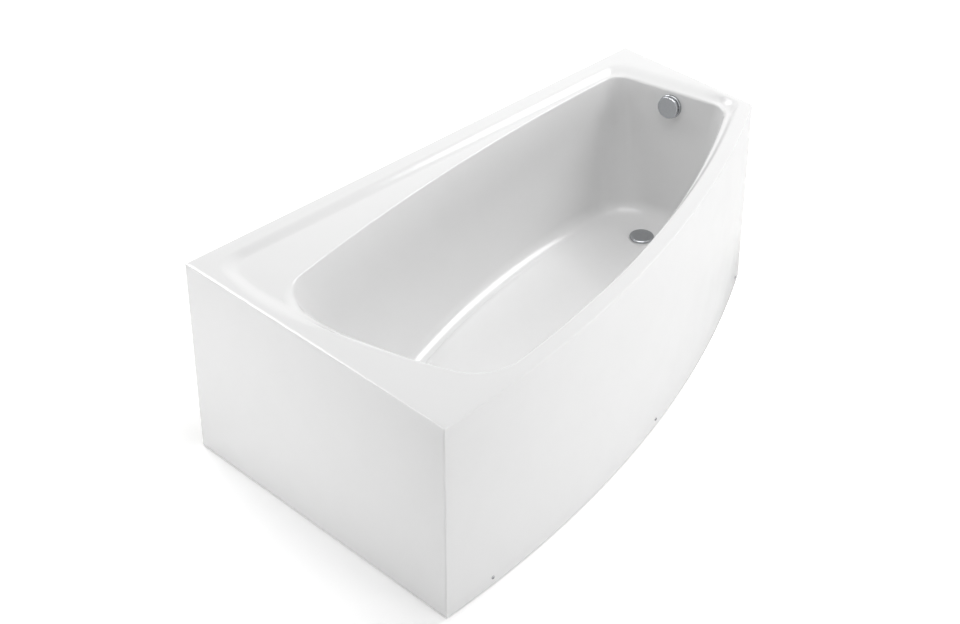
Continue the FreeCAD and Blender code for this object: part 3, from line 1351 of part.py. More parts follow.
def check(thing):
    """Stops if an object failed to build."""
    if "Invalid" in thing.State or "Error" in thing.State:
        raise RuntimeError("%s did not build: %s" % (thing.Name, thing.State))


doc.recompute()
for thing in doc.Objects:
    check(thing)
os.makedirs("parts", exist_ok=True)
for node, thing in nodes.items():
    shape = thing.Shape
    if shape.isNull() or not shape.isValid() or not shape.Solids:
        raise RuntimeError("%s has no valid solid" % node)
    shape.exportStep("parts/%s.step" % node)
    box = shape.BoundBox
    print("%-24s %2d solids %10.0f mm3  x %7.1f %7.1f  y %7.1f %7.1f  z %6.1f %6.1f" % (
        node, len(shape.Solids), shape.Volume, box.XMin, box.XMax, box.YMin, box.YMax, box.ZMin, box.ZMax))
print(len(nodes), "sub-parts")
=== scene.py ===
import json
import math

import bmesh
import bpy
import numpy as np
from mathutils import Matrix, Vector

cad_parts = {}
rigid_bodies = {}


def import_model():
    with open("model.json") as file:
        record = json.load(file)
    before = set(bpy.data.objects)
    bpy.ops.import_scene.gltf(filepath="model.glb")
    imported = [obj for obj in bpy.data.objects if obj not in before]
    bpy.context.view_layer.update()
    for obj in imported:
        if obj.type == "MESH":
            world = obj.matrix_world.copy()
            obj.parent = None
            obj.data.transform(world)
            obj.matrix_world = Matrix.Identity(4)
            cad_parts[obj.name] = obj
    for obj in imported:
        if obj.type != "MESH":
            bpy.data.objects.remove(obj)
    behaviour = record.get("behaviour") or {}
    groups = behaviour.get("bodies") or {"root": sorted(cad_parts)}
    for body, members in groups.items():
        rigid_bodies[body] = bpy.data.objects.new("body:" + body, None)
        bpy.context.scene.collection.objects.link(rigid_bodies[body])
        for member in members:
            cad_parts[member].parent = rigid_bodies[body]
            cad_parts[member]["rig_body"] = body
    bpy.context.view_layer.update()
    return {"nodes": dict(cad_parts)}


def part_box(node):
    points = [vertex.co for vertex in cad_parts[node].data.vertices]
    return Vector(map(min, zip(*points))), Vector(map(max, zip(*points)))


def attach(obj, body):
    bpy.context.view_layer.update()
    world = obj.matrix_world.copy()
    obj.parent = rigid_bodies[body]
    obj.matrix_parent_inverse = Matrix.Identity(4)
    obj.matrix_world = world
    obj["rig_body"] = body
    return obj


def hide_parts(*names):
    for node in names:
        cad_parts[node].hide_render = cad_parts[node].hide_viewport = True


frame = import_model()
NODES = frame["nodes"]

# ---------------------------------------------------------------- acrylic tub
# The tub is one sheet of white sanitary acrylic, heated and drawn by vacuum over a mould. It has a
# flat rim, a deck sunk a little below it, soft edges round the well and a lip turned down all round.
# Its gloss is even, with a faint swell that the drawn sheet keeps.

LENGTH = 1700.0
WIDTH = 970.0
RIM_LEVEL = 600.0
DECK_DEPTH = 15.0
FLOOR_LEVEL = 178.0
SHEET = 5.0
FRONT_CENTRE = np.array([-68.7399, 2588.1018])
FRONT_RADIUS = 3558.7658
DRAIN = np.array([1436.0, -327.0])


class Outline:
    """Four sides, straight or bowed out, and four round corners, clockwise from the back side."""

    def __init__(self, corners, bows, radii):
        self.sides = []
        for n in range(4):
            start = np.array(corners[n], float)
            end = np.array(corners[(n + 1) % 4], float)
            half = np.linalg.norm(end - start) / 2
            run = (end - start) / (2 * half)
            out = np.array([-run[1], run[0]])
            side = {"start": start, "end": end, "out": out, "radius": 0.0}
            if bows[n]:
                side["radius"] = half ** 2 / (2 * bows[n]) + bows[n] / 2
                rise = math.sqrt(side["radius"] ** 2 - half ** 2)
                side["centre"] = (start + end) / 2 - out * rise
            self.sides.append(side)
        self.rounds = []
        for n in range(4):
            before = self.sides[n - 1]
            after = self.sides[n]
            centre = before["end"] - (before["out"] + after["out"]) * radii[n]
            for step in range(40):
                centre = centre + before["out"] * (self.depth(before, centre) - radii[n])
                centre = centre + after["out"] * (self.depth(after, centre) - radii[n])
            self.rounds.append(centre)
        self.pieces = []
        for n in range(4):
            side = self.sides[n]
            leave = self.touch(side, self.rounds[n])
            arrive = self.touch(side, self.rounds[(n + 1) % 4])
            if side["radius"]:
                self.pieces.append(("arc", side["centre"], leave, arrive))
            else:
                self.pieces.append(("line", side["out"], leave, arrive))
            corner = self.rounds[(n + 1) % 4]
            following = self.sides[(n + 1) % 4]
            self.pieces.append(("arc", corner, arrive, self.touch(following, corner)))

    def depth(self, side, point):
        if side["radius"]:
            return side["radius"] - np.linalg.norm(point - side["centre"])
        return float(np.dot(side["start"] - point, side["out"]))

    def touch(self, side, point):
        if side["radius"]:
            away = point - side["centre"]
            return side["centre"] + away / np.linalg.norm(away) * side["radius"]
        return point + side["out"] * self.depth(side, point)

    def at(self, place):
        """The point and the outward direction at a place from 0 to 8, one for each side and round."""
        n = int(place) % 8
        share = place - int(place)
        kind, middle, start, end = self.pieces[n]
        if kind == "line":
            return start + (end - start) * share, middle
        first = start - middle
        last = end - middle
        turn = math.atan2(last[1], last[0]) - math.atan2(first[1], first[0])
        turn = (turn - math.pi) % (2 * math.pi) - math.pi
        angle = math.atan2(first[1], first[0]) + turn * share
        out = np.array([math.cos(angle), math.sin(angle)])
        return middle + out * np.linalg.norm(first), out


well = Outline([(108, -250), (1576, -77), (1653, -442), (225, -905)], [41, 0, 88, 53],
               [123, 54, 66, 132])
deck = Outline([(79, -50), (1604, -50), (1690, -452), (430, -870)], [0, 0, 70, 160], [80, 60, 70, 60])
basin = Outline([(315, -393), (1530, -142), (1591, -428), (365, -852)], [73, 0, 70, 40],
                [110, 140, 70, 150])


def outer_corner(n, insets):
    """A corner of the bath's own outline, with its head, back, tap and front sides drawn in."""
    head, back, tap, front = insets
    x = head if n in (0, 3) else LENGTH - tap
    if n in (0, 1):
        return np.array([x, -back])
    reach = math.sqrt((FRONT_RADIUS - front) ** 2 - (x - FRONT_CENTRE[0]) ** 2)
    return np.array([x, FRONT_CENTRE[1] - reach])


def outer_hit(point, out, insets):
    """How far a ray runs from a point before it leaves the drawn-in outline."""
    head, back, tap, front = insets
    runs = []
    if out[0] < -1e-9:
        runs.append((head - point[0]) / out[0])
    if out[0] > 1e-9:
        runs.append((LENGTH - tap - point[0]) / out[0])
    if out[1] > 1e-9:
        runs.append((-back - point[1]) / out[1])
    away = point - FRONT_CENTRE
    along = np.dot(away, out)
    runs.append(-along + math.sqrt(along ** 2 - np.dot(away, away) + (FRONT_RADIUS - front) ** 2))
    return min(runs)


def places_round_the_well(counts):
    """Places along the well's edge, one of them facing each corner of the bath exactly."""
    places = []
    for n, count in enumerate(counts):
        places += [n + step / count for step in range(count)]
    facing = {}
    for corner in range(4):
        target = outer_corner(corner, (0, 0, 0, 0))

        def miss(place):
            point, out = well.at(place)
            gap = target - point
            return out[0] * gap[1] - out[1] * gap[0], np.dot(out, gap)

        for n, place in enumerate(places):
            low = place
            high = places[(n + 1) % len(places)] + (8 if n + 1 == len(places) else 0)
            if miss(low)[1] < 0 or miss(low)[0] * miss(high % 8)[0] > 0:
                continue
            for step in range(50):
                middle = (low + high) / 2
                if miss(low)[0] * miss(middle % 8)[0] > 0:
                    low = middle
                else:
                    high = middle
            best = min(range(len(places)), key=lambda k: abs(places[k] - low))
            places[best] = low % 8
            facing[best] = corner
            break
    return places, facing


def blend_round(place, back, tap, front, head):
    """A size that differs from side to side and changes smoothly through the round corners."""
    values = [back, tap, front, head]
    n = int(place) % 8
    share = place - int(place)
    if n % 2 == 0:
        return values[n // 2]
    share = share * share * (3 - 2 * share)
    return values[n // 2] * (1 - share) + values[(n // 2 + 1) % 4] * share


def ease(x):
    x = min(max(x, 0.0), 1.0)
    return x * x * (3 - 2 * x)


def arc_rows(corner, first, second, radius, count, reach=1e9):
    """Points of a round edge between two directions that leave a corner, and how far along it starts."""
    half = math.acos(max(-1.0, min(1.0, float(np.dot(first, second))))) / 2
    run = min(radius / math.tan(half), reach)
    start = corner + first * run
    end = corner + second * run
    weight = math.sin(half)
    points = []
    for step in range(count + 1):
        t = step / count
        a = (1 - t) ** 2
        b = 2 * t * (1 - t) * weight
        c = t ** 2
        points.append((start * a + corner * b + end * c) / (a + b + c))
    return points, run


PLACES, FACING = places_round_the_well([96, 26, 26, 30, 110, 30, 48, 34])
deck_points = np.array([deck.at(n / 150)[0] for n in range(1200)])
deck_runs = np.roll(deck_points, -1, axis=0) - deck_points


def deck_hit(point, out):
    """How far out from a point of the well's edge the sunk deck ends, and which way it faces there."""
    gap = deck_points - point
    cross = out[0] * deck_runs[:, 1] - out[1] * deck_runs[:, 0]
    cross = np.where(np.abs(cross) < 1e-9, 1e-9, cross)
    far = (gap[:, 0] * deck_runs[:, 1] - gap[:, 1] * deck_runs[:, 0]) / cross
    share = (gap[:, 0] * out[1] - gap[:, 1] * out[0]) / cross
    hits = np.where((share >= 0) & (share < 1), far, -500.0)
    n = int(hits.argmax())
    along = deck_runs[n] / np.linalg.norm(deck_runs[n])
    return float(hits[n]), np.array([-along[1], along[0]])


def level_point(flat, level):
    return np.array([flat[0], flat[1], level])


DECK_ROWS = 13
WALL_ROWS = 18
FLOOR_ROWS = 25
FOOT_RADIUS = 45.0
HOLE_RADIUS = 26.0
LIP_LEVEL = 560.0
PANEL_ROOM = 4.3
tub_columns = []
lip_columns = []
for n, place in enumerate(PLACES):
    edge, out = well.at(place)
    foot, foot_out = basin.at(place)
    rim_run = outer_hit(edge, out, (0, 0, 0, 0))
    deck_run, faces = deck_hit(edge, out)
    back_share = max(faces[1], 0.0) ** 2
    tap_share = max(faces[0], 0.0) ** 2
    front_share = max(-faces[1], 0.0) ** 2
    deck_run -= 8 * (back_share + tap_share)
    soft = 18 * back_share + 30 * tap_share + 6 * front_share + 36 * max(-faces[0], 0.0) ** 2
    soft = max(min(soft, rim_run - 14 - deck_run), 4.0)
    radius = blend_round(place, 5, 7, 12, 14 + 40 * ease(place - 6.0))

    def sunk(run):
        """How far the deck lies under the rim, at a distance out from the well's edge."""
        return DECK_DEPTH * (1 - ease((run - deck_run + soft) / (2 * soft)))

    drop = sunk(0.0)
    lean = (edge - foot) / (RIM_LEVEL - DECK_DEPTH - FLOOR_LEVEL)
    corner = level_point(edge + lean * (DECK_DEPTH - drop), RIM_LEVEL - drop)
    down = level_point(foot, FLOOR_LEVEL) - level_point(edge, RIM_LEVEL - DECK_DEPTH)
    down = down / np.linalg.norm(down)
    outward = level_point(out, 0.0)
    round_edge, run = arc_rows(corner, outward, down, radius, 10, rim_run * 0.55)
    for point in round_edge:
        shift = float(np.dot(point[:2] - corner[:2], out))
        if shift > 0:
            point[2] += (drop - sunk(shift)) * shift / run
    start = float(np.dot(round_edge[0][:2] - edge, out))
    step_start = min(max(deck_run - soft, start + 2), rim_run - 20)
    step_end = min(max(deck_run + soft, step_start + 8), rim_run - 12)

    def on_outline(inset):
        insets = (inset, inset, inset, inset)
        if n in FACING:
            return outer_corner(FACING[n], insets)
        return edge + out * outer_hit(edge, out, insets)

    step_foot = edge + out * step_end
    column = [level_point(on_outline(0.0), RIM_LEVEL - 2.0)]
    column.append(level_point(on_outline(0.6), RIM_LEVEL - 0.6))
    column.append(level_point(on_outline(2.0), RIM_LEVEL))
    for share in (0.0, 0.5):
        rim_point = on_outline(10.0)
        column.append(level_point(rim_point + (step_foot - rim_point) * share, RIM_LEVEL))
    for step in range(DECK_ROWS):
        run_out = step_end + (step_start - step_end) * step / (DECK_ROWS - 1)
        column.append(level_point(edge + out * run_out, RIM_LEVEL - sunk(run_out)))
    for step in range(1, 5):
        run_out = step_start + (start - step_start) * step / 5
        column.append(level_point(edge + out * run_out, RIM_LEVEL - sunk(run_out)))
    column += round_edge
    middle = level_point(DRAIN, FLOOR_LEVEL)
    bottom = level_point(foot, FLOOR_LEVEL)
    inward = level_point(-foot_out, 0.0)
    round_foot, run = arc_rows(bottom, -down, inward, FOOT_RADIUS, 12)
    for step in range(1, WALL_ROWS):
        column.append(round_edge[-1] + (round_foot[0] - round_edge[-1]) * (step / WALL_ROWS))
    column += round_foot
    away = round_foot[-1] - middle
    hole = middle + away / np.linalg.norm(away) * HOLE_RADIUS
    for step in range(1, FLOOR_ROWS):
        share = 1 - (1 - step / (FLOOR_ROWS - 1)) ** 1.35
        column.append(round_foot[-1] + (hole - round_foot[-1]) * share)
    tub_columns.append(column)

    def lip_point(inset, level):
        insets = (PANEL_ROOM + inset, inset, inset, PANEL_ROOM + inset)
        if n in FACING:
            return level_point(outer_corner(FACING[n], insets), level)
        return level_point(edge + out * outer_hit(edge, out, insets), level)

    lip_columns.append([
        level_point(on_outline(0.0), RIM_LEVEL - SHEET), lip_point(0.0, RIM_LEVEL - SHEET),
        lip_point(0.0, LIP_LEVEL + 1.0), lip_point(1.0, LIP_LEVEL), lip_point(SHEET, LIP_LEVEL),
        lip_point(SHEET, RIM_LEVEL - SHEET),
    ])

tub_top = np.array(tub_columns)
EDGE_ROW = 5 + DECK_ROWS + 4


def outward_normals(grid):
    """The direction in which each point of the tub's upper face looks."""
    across = np.gradient(grid, axis=1)
    along = np.roll(grid, -1, axis=0) - np.roll(grid, 1, axis=0)
    normal = np.cross(across, along)
    size = np.linalg.norm(normal, axis=2, keepdims=True)
    normal = normal / np.maximum(size, 1e-9)
    return normal * np.sign(normal[:, -3:-2, 2:3])


tub_normals = outward_normals(tub_top)


def row_place(points):
    """From the maker's own measure, along and across from the back corner, to the model's frame."""
    moved = np.array(points, float)
    moved[..., 0] -= LENGTH / 2
    moved[..., 1] += WIDTH / 2
    return moved / 1000


def linked(name, data):
    made = bpy.data.objects.new(name, data)
    bpy.context.scene.collection.objects.link(made)
    return made


def clean_object(name, points, faces, doubles=0.0, thin=0.0):
    """An object of points in metres and faces, its doubles merged and its faces turned outward."""
    mesh = bpy.data.meshes.new(name)
    mesh.from_pydata(points.tolist(), [], faces)
    shape = bmesh.new()
    shape.from_mesh(mesh)
    if doubles:
        bmesh.ops.remove_doubles(shape, verts=shape.verts, dist=doubles)
    if thin:
        bmesh.ops.dissolve_degenerate(shape, dist=thin, edges=shape.edges)
    bmesh.ops.recalc_face_normals(shape, faces=shape.faces)
    shape.to_mesh(mesh)
    shape.free()
    return linked(name, mesh)


def ring_mesh(name, grid):
    """A mesh through a grid of points that goes all round the bath, its profile closed."""
    columns, rows = grid.shape[:2]
    index = np.arange(columns * rows).reshape(columns, rows)
    index = np.concatenate([index, index[:, :1]], axis=1)
    following = np.roll(index, -1, axis=0)
    quads = np.stack([index[:, :-1], index[:, 1:], following[:, 1:], following[:, :-1]], axis=-1)
    return clean_object(name, row_place(grid.reshape(-1, 3)), quads.reshape(-1, 4).tolist(), 2e-5)


def shade(made, angle=35.0):
    """Smooth faces, with the edges that turn sharply kept crisp."""
    made.data.polygons.foreach_set("use_smooth", [True] * len(made.data.polygons))
    made.data.set_sharp_from_angle(angle=math.radians(angle))
    return made


FALL = 3.0
FALL_START = 45.0
FALL_RUN = 500.0
from_drain = np.linalg.norm(tub_top[:, -FLOOR_ROWS:, :2] - DRAIN, axis=2)
tub_under = tub_top - tub_normals * SHEET
tub_under[:, 1 - FLOOR_ROWS:, 2] = FLOOR_LEVEL - SHEET
shown = tub_top.copy()
shown[:, -FLOOR_ROWS:, 2] += FALL * np.clip((from_drain - FALL_START) / FALL_RUN, 0, 1) ** 1.5
tub_profile = np.concatenate([shown, tub_under[:, :3:-1], np.array(lip_columns)[:, ::-1]], axis=1)
tub = ring_mesh("acrylic_tub", tub_profile)


def stood_along(centre, axis):
    """The place and turn that stand a piece made upright along an axis at a point."""
    return Matrix.Translation(Vector(centre)) @ Vector(axis).to_track_quat("Z", "Y").to_matrix().to_4x4()


def rod_mesh(name, centre, axis, radius, low, high):
    """A plain round bar along an axis, in the model's frame, used to bore a hole."""
    shape = bmesh.new()
    bmesh.ops.create_cone(shape, cap_ends=True, segments=64, radius1=radius, radius2=radius,
                          depth=high - low)
    middle = Vector(centre) + Vector(axis) * (low + high) / 2
    bmesh.ops.transform(shape, matrix=stood_along(middle, axis), verts=shape.verts)
    mesh = bpy.data.meshes.new(name)
    shape.to_mesh(mesh)
    shape.free()
    return linked(name, mesh)


def settle(made):
    """Turns an object with modifiers into its plain finished mesh."""
    bpy.context.view_layer.update()
    finished = bpy.data.meshes.new_from_object(made.evaluated_get(bpy.context.evaluated_depsgraph_get()))
    made.modifiers.clear()
    made.data = finished
    finished.name = made.name
    return made


def bore(made, tool, folded=False):
    """Cuts a hole in a piece with another closed mesh; a piece may be folded into itself."""
    hole = made.modifiers.new("hole", "BOOLEAN")
    hole.operation = "DIFFERENCE"
    hole.solver = "EXACT"
    hole.use_self = folded
    hole.object = tool
    settle(made)
    bpy.data.objects.remove(tool)
    return made


OVERFLOW = Vector((0.75922, 0.2180, 0.5380))
INTO_WELL = Vector((-0.968579, -0.204591, 0.141411)).normalized()
bore(tub, rod_mesh("overflow_hole", OVERFLOW, INTO_WELL, 0.024, -0.03, 0.03))
shade(tub)


def linear(code):
    """An sRGB hex colour as the linear values that a shader takes."""
    parts = [int(code[n:n + 2], 16) / 255 for n in (1, 3, 5)]
    parts = [p / 12.92 if p <= 0.04045 else ((p + 0.055) / 1.055) ** 2.4 for p in parts]
    return (*parts, 1.0)


def add(owner, kind, settings=None, links=None):
    """Adds a node with its settings; a link from a node, or a list of them, is from its first output."""
    tree = owner if hasattr(owner, "nodes") else owner.node_tree
    made = tree.nodes.new(kind)
    for name, what in (settings or {}).items():
        if isinstance(name, int) or name in made.inputs:
            made.inputs[name].default_value = what
        else:
            setattr(made, name, what)
    for name, sources in (links or {}).items():
        for source in sources if isinstance(sources, list) else [sources]:
            tree.links.new(source.outputs[0] if hasattr(source, "outputs") else source, made.inputs[name])
    return made


def new_material(name):
    made = bpy.data.materials.new(name)
    made.use_nodes = True
    made.node_tree.nodes.clear()
    return made


def noise(material, settings, stretch=None):
    """Noise at a real size, in the piece's own measure, turned or stretched first where that is given."""
    place = add(material, "ShaderNodeTexCoord").outputs["Object"]
    if stretch:
        place = add(material, "ShaderNodeMapping", stretch, {"Vector": place})
    return add(material, "ShaderNodeTexNoise", settings, {"Vector": place})


def between(material, low, high, share):
    """A number, or a colour given in hex, that runs from one value to another with a pattern."""
    if isinstance(low, str):
        return add(material, "ShaderNodeMix", {"data_type": "RGBA", 6: linear(low), 7: linear(high)},
                   {0: share}).outputs[2]
    return add(material, "ShaderNodeMapRange", {"To Min": low, "To Max": high}, {"Value": share})


def ramp(material, share, low, low_tint, high, high_tint):
    """A colour in hex that turns to another between two shares of a pattern."""
    made = add(material, "ShaderNodeValToRGB", links={"Fac": share})
    for stop, place, tint in zip(made.color_ramp.elements, (low, high), (low_tint, high_tint)):
        stop.position = place
        stop.color = linear(tint)
    return made


def bump(material, strength, distance, height):
    return add(material, "ShaderNodeBump", {"Strength": strength, "Distance": distance},
               {"Height": height})


def close(material, settings, links):
    """Ends a material with a surface of these settings, patterns linked to its inputs."""
    surface = add(material, "ShaderNodeBsdfPrincipled", settings, links)
    add(material, "ShaderNodeOutputMaterial", links={"Surface": surface})
    return material


def dress(made, material, body="bath"):
    """Gives a piece its material and the body that it rides."""
    made.data.materials.clear()
    made.data.materials.append(material)
    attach(made, body)
    return made


# Sanitary acrylic: a white, fully dense PMMA sheet. The drawn face is glossy, with a swell of some
# 45 mm that only bends the reflections, and a very fine haze where it is wiped.
acrylic = new_material("sanitary_acrylic")
swell = noise(acrylic, {"Scale": 22.0, "Detail": 1.0, "Roughness": 0.4})
haze = noise(acrylic, {"Scale": 9.0, "Detail": 5.0, "Roughness": 0.6})
close(acrylic, {"IOR": 1.49}, {
    "Base Color": between(acrylic, "#E5E5E5", "#E8E8E8", haze),
    "Roughness": between(acrylic, 0.10, 0.17, haze), "Normal": bump(acrylic, 0.12, 0.0012, swell)})
dress(tub, acrylic)
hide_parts("tub_shell")

# ---------------------------------------------------------------- glass fibre backing
# Polyester resin and chopped glass strands, sprayed on the back of the well from just under its
# edge down to the floor and rolled flat by hand, so its outside is uneven and shows the strands.

BACKING = 4.0
GAP = 0.02
SMOOTH_LEVEL = 185.0
SMOOTH_RUN = 60.0
backing_rows = np.arange(EDGE_ROW + 5, tub_top.shape[1])
resin_inside = (tub_top - tub_normals * (SHEET + GAP))[:, backing_rows]
wave = np.zeros(resin_inside.shape[:2])
for size, depth, turn in ((61.0, 0.45, 0.4), (37.0, 0.35, 1.9), (23.0, 0.25, 3.1), (14.0, 0.18, 5.0)):
    along_wave = resin_inside[..., 0] * math.cos(turn) + resin_inside[..., 1] * math.sin(turn)
    wave += depth * np.sin(along_wave / size * 2 * math.pi + turn) * np.sin(
        resin_inside[..., 2] / size * 2 * math.pi + 3 * turn)
wave *= np.clip((resin_inside[..., 2] - SMOOTH_LEVEL) / SMOOTH_RUN, 0, 1)
wave[:, :2] = 0
resin_outside = (tub_top - tub_normals * (SHEET + BACKING))[:, backing_rows]
resin_outside = resin_outside - tub_normals[:, backing_rows] * wave[..., None]
resin_inside[:, 1 - FLOOR_ROWS:, 2] = FLOOR_LEVEL - SHEET - GAP
resin_outside[:, 1 - FLOOR_ROWS:, 2] = FLOOR_LEVEL - SHEET - BACKING
backing = ring_mesh("glass_fibre_coat", np.concatenate([resin_inside, resin_outside[:, ::-1]], axis=1))
bore(backing, rod_mesh("backing_hole", OVERFLOW, INTO_WELL, 0.0245, -0.03, 0.03), True)
shade(backing)

# Sprayed glass fibre: pale straw resin, whiter where strands of 1 mm, drawn as wide bundles some
# 35 mm long, lie near the face. The strands cross in three directions and stand up a little.
fibre = new_material("sprayed_glass_fibre")
strands = []
for turn, seed in ((0.3, 0.0), (1.4, 4.0), (2.5, 9.0)):
    strands.append(noise(fibre, {"Scale": 1.0, "Detail": 1.0, "Roughness": 0.3}, {
        "Rotation": (0.5 * turn, turn, 1.3 * turn), "Scale": (28.0, 700.0, 160.0),
        "Location": (seed, seed, 0)}))
pair = add(fibre, "ShaderNodeMath", {"operation": "MAXIMUM"}, {0: strands[0], 1: strands[1]})
mat_of_strands = add(fibre, "ShaderNodeMath", {"operation": "MAXIMUM"}, {0: pair, 1: strands[2]})
close(fibre, {"IOR": 1.54, "Roughness": 0.36}, {
    "Base Color": ramp(fibre, mat_of_strands, 0.48, "#BDB593", 0.72, "#DDD8C4"),
    "Normal": bump(fibre, 0.5, 0.0008, mat_of_strands)})
dress(backing, fibre)
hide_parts("glass_fibre_backing")

# ---------------------------------------------------------------- base board
# A 16 mm chipboard under the floor of the well, bedded in the resin. It spreads the bather's weight
# on the rails. Its sawn edges show coarse chips, its faces finer ones.


def ease_edges(made, width, segments, angle):
    """Rounds the edges that turn by more than an angle, by a width in mm."""
    eased = made.modifiers.new("eased", "BEVEL")
    eased.width = width / 1000
    eased.segments = segments
    eased.limit_method = "ANGLE"
    eased.angle_limit = math.radians(angle)
    return settle(made)


def eased_copy(node, name, width):
    """A copy of a CAD piece with its doubles merged and its sharp edges eased by some millimetres."""
    mesh = NODES[node].data.copy()
    shape = bmesh.new()
    shape.from_mesh(mesh)
    bmesh.ops.remove_doubles(shape, verts=shape.verts, dist=1e-5)
    bmesh.ops.dissolve_limit(shape, angle_limit=math.radians(1.0), verts=shape.verts, edges=shape.edges)
    shape.to_mesh(mesh)
    shape.free()
    mesh.name = name
    return shade(ease_edges(linked(name, mesh), width, 2, 35.0))


def stand_for(made, material, slot, *nodes):
    """Dresses a piece and lets it take the place of the CAD pieces that it shows."""
    dress(made, material, NODES[nodes[0]]["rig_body"])
    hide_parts(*nodes)
    return made


# Chipboard: pressed wood chips 1 to 4 mm across in glue, drawn at their real size.
chipboard = new_material("pressed_chipboard")
spot = add(chipboard, "ShaderNodeTexCoord").outputs["Object"]
flat_chips = add(chipboard, "ShaderNodeMapping", {"Scale": (330.0, 330.0, 900.0)}, {"Vector": spot})
chips = add(chipboard, "ShaderNodeTexVoronoi", {"Scale": 1.0, "Randomness": 1.0}, {"Vector": flat_chips})
chip_tone = add(chipboard, "ShaderNodeSeparateColor", links={"Color": chips.outputs["Color"]})
close(chipboard, {"IOR": 1.45, "Roughness": 0.72}, {
    "Base Color": ramp(chipboard, chip_tone, 0.0, "#9C7B4E", 1.0, "#D0B384"),
    "Normal": bump(chipboard, 0.4, 0.0004, chips)})
stand_for(eased_copy("base_board", "chipboard_base", 0.8), chipboard, "chipboard", "base_board")

# ---------------------------------------------------------------- rim battens
# Four planed pine battens glued to the underside of the rim with resin. They stiffen it, take the
# posts of the frame and the screws of the panel hangers. The grain runs along each batten.


def planed_pine(name, turn):
    """Pine with its grain along X once turned, growth rings 3 mm apart and a few darker streaks."""
    made = new_material(name)
    rings = noise(made, {"Scale": 1.0, "Detail": 2.0, "Distortion": 0.6},
                  {"Rotation": (0.0, 0.0, turn), "Scale": (6.0, 330.0, 330.0)})
    pores = noise(made, {"Scale": 1.0, "Detail": 1.0},
                  {"Rotation": (0.0, 0.0, turn), "Scale": (14.0, 1600.0, 1600.0)})
    return close(made, {"IOR": 1.46, "Roughness": 0.62}, {
        "Base Color": ramp(made, rings, 0.35, "#C89C62", 0.65, "#E6CB98"),
        "Normal": bump(made, 0.3, 0.0003, pores)})


pine_along = planed_pine("planed_pine_along", 0.0)
pine_across = planed_pine("planed_pine_across", math.pi / 2)
for side, pine in (("back", pine_along), ("front", pine_along), ("head", pine_across),
                   ("tap", pine_across)):
    batten = eased_copy("rim_batten_" + side, "pine_batten_" + side, 1.5)
    stand_for(batten, pine, "timber", "rim_batten_" + side)

# ---------------------------------------------------------------- steel frame
# Cross beams, floor rails and posts cut from square steel tube and welded, then powder coated light
# grey. The coat is thick and slightly pitted, and it rounds every edge.

coated = new_material("powder_coated_steel")
peel = noise(coated, {"Scale": 700.0, "Detail": 2.0})
dust = noise(coated, {"Scale": 14.0, "Detail": 4.0})
close(coated, {"IOR": 1.5}, {
    "Base Color": between(coated, "#8F9498", "#9CA1A5", dust),
    "Roughness": between(coated, 0.36, 0.5, dust), "Normal": bump(coated, 0.25, 0.0003, peel)})
frame_bars = ["cross_beam_head", "cross_beam_middle", "cross_beam_tap", "floor_rail_back",
              "floor_rail_front"]
frame_bars += ["post_%s_%s" % (side, place) for side in ("back", "front")
               for place in ("head", "middle", "tap")]
for bar in frame_bars:
    stand_for(eased_copy(bar, "coated_" + bar, 1.2), coated, "frame_steel", bar)

# ---------------------------------------------------------------- screw feet
# Six feet under the cross beams: a zinc-plated M12 stud that screws through a nut welded to the
# beam, a lock nut under it, and a black plastic pad that turns on the stud's rounded end.


def tree_input(tree, name, value, kind="NodeSocketFloat"):
    """A named input of a tree; a geometry comes before the others, as a modifier needs."""
    made = tree.interface.new_socket(name=name, in_out="INPUT", socket_type=kind)
    if kind == "NodeSocketGeometry":
        tree.interface.move(made, 0)
    if value is not None:
        made.default_value = value
    return made


def new_tree(name, inputs):
    """A geometry tree with named number inputs; returns it with the sockets that carry them."""
    tree = bpy.data.node_groups.new(name, "GeometryNodeTree")
    tree.interface.new_socket(name="Geometry", in_out="OUTPUT", socket_type="NodeSocketGeometry")
    for label, value in inputs.items():
        kind = "NodeSocketInt" if isinstance(value, int) else "NodeSocketFloat"
        tree_input(tree, label, value, kind)
    given = tree.nodes.new("NodeGroupInput")
    return tree, given.outputs


def end_tree(tree, geometry, material):
    """Makes what the tree built real, gives it its material and sends it out."""
    real = add(tree, "GeometryNodeRealizeInstances", links={"Geometry": geometry})
    coloured = add(tree, "GeometryNodeSetMaterial", {"Material": material}, {"Geometry": real})
    add(tree, "NodeGroupOutput", links={"Geometry": coloured})


def made_by_tree(name, tree, values, place=None, given_mesh=None):
    """The plain mesh that a tree makes of these values, and of a mesh where it needs one."""
    made = linked(name, given_mesh or bpy.data.meshes.new(name))
    grown = made.modifiers.new("tree", "NODES")
    grown.node_group = tree
    for item in tree.interface.items_tree:
        if item.in_out == "INPUT" and item.name in values:
            grown[item.identifier] = values[item.name]
    settle(made)
    if place is not None:
        made.data.transform(place)
    return made


def joined(name, pieces):
    """Several finished pieces made one, with each one's materials kept."""
    bpy.ops.object.select_all(action="DESELECT")
    for piece in pieces:
        piece.select_set(True)
    bpy.context.view_layer.objects.active = pieces[0]
    bpy.ops.object.join()
    pieces[0].name = name
    pieces[0].data.name = name
    return pieces[0]


# Zinc-plated steel: bright bluish grey, with crystals some 3 mm across.
zinc = new_material("zinc_plated_steel")
spot = add(zinc, "ShaderNodeTexCoord").outputs["Object"]
crystals = add(zinc, "ShaderNodeTexVoronoi", {"Scale": 330.0}, {"Vector": spot})
crystal_tone = add(zinc, "ShaderNodeSeparateColor", links={"Color": crystals.outputs["Color"]})
close(zinc, {"Metallic": 1.0}, {
    "Base Color": between(zinc, "#B4B7BA", "#C6C9CB", crystal_tone),
    "Roughness": between(zinc, 0.30, 0.42, crystal_tone.outputs["Green"])})

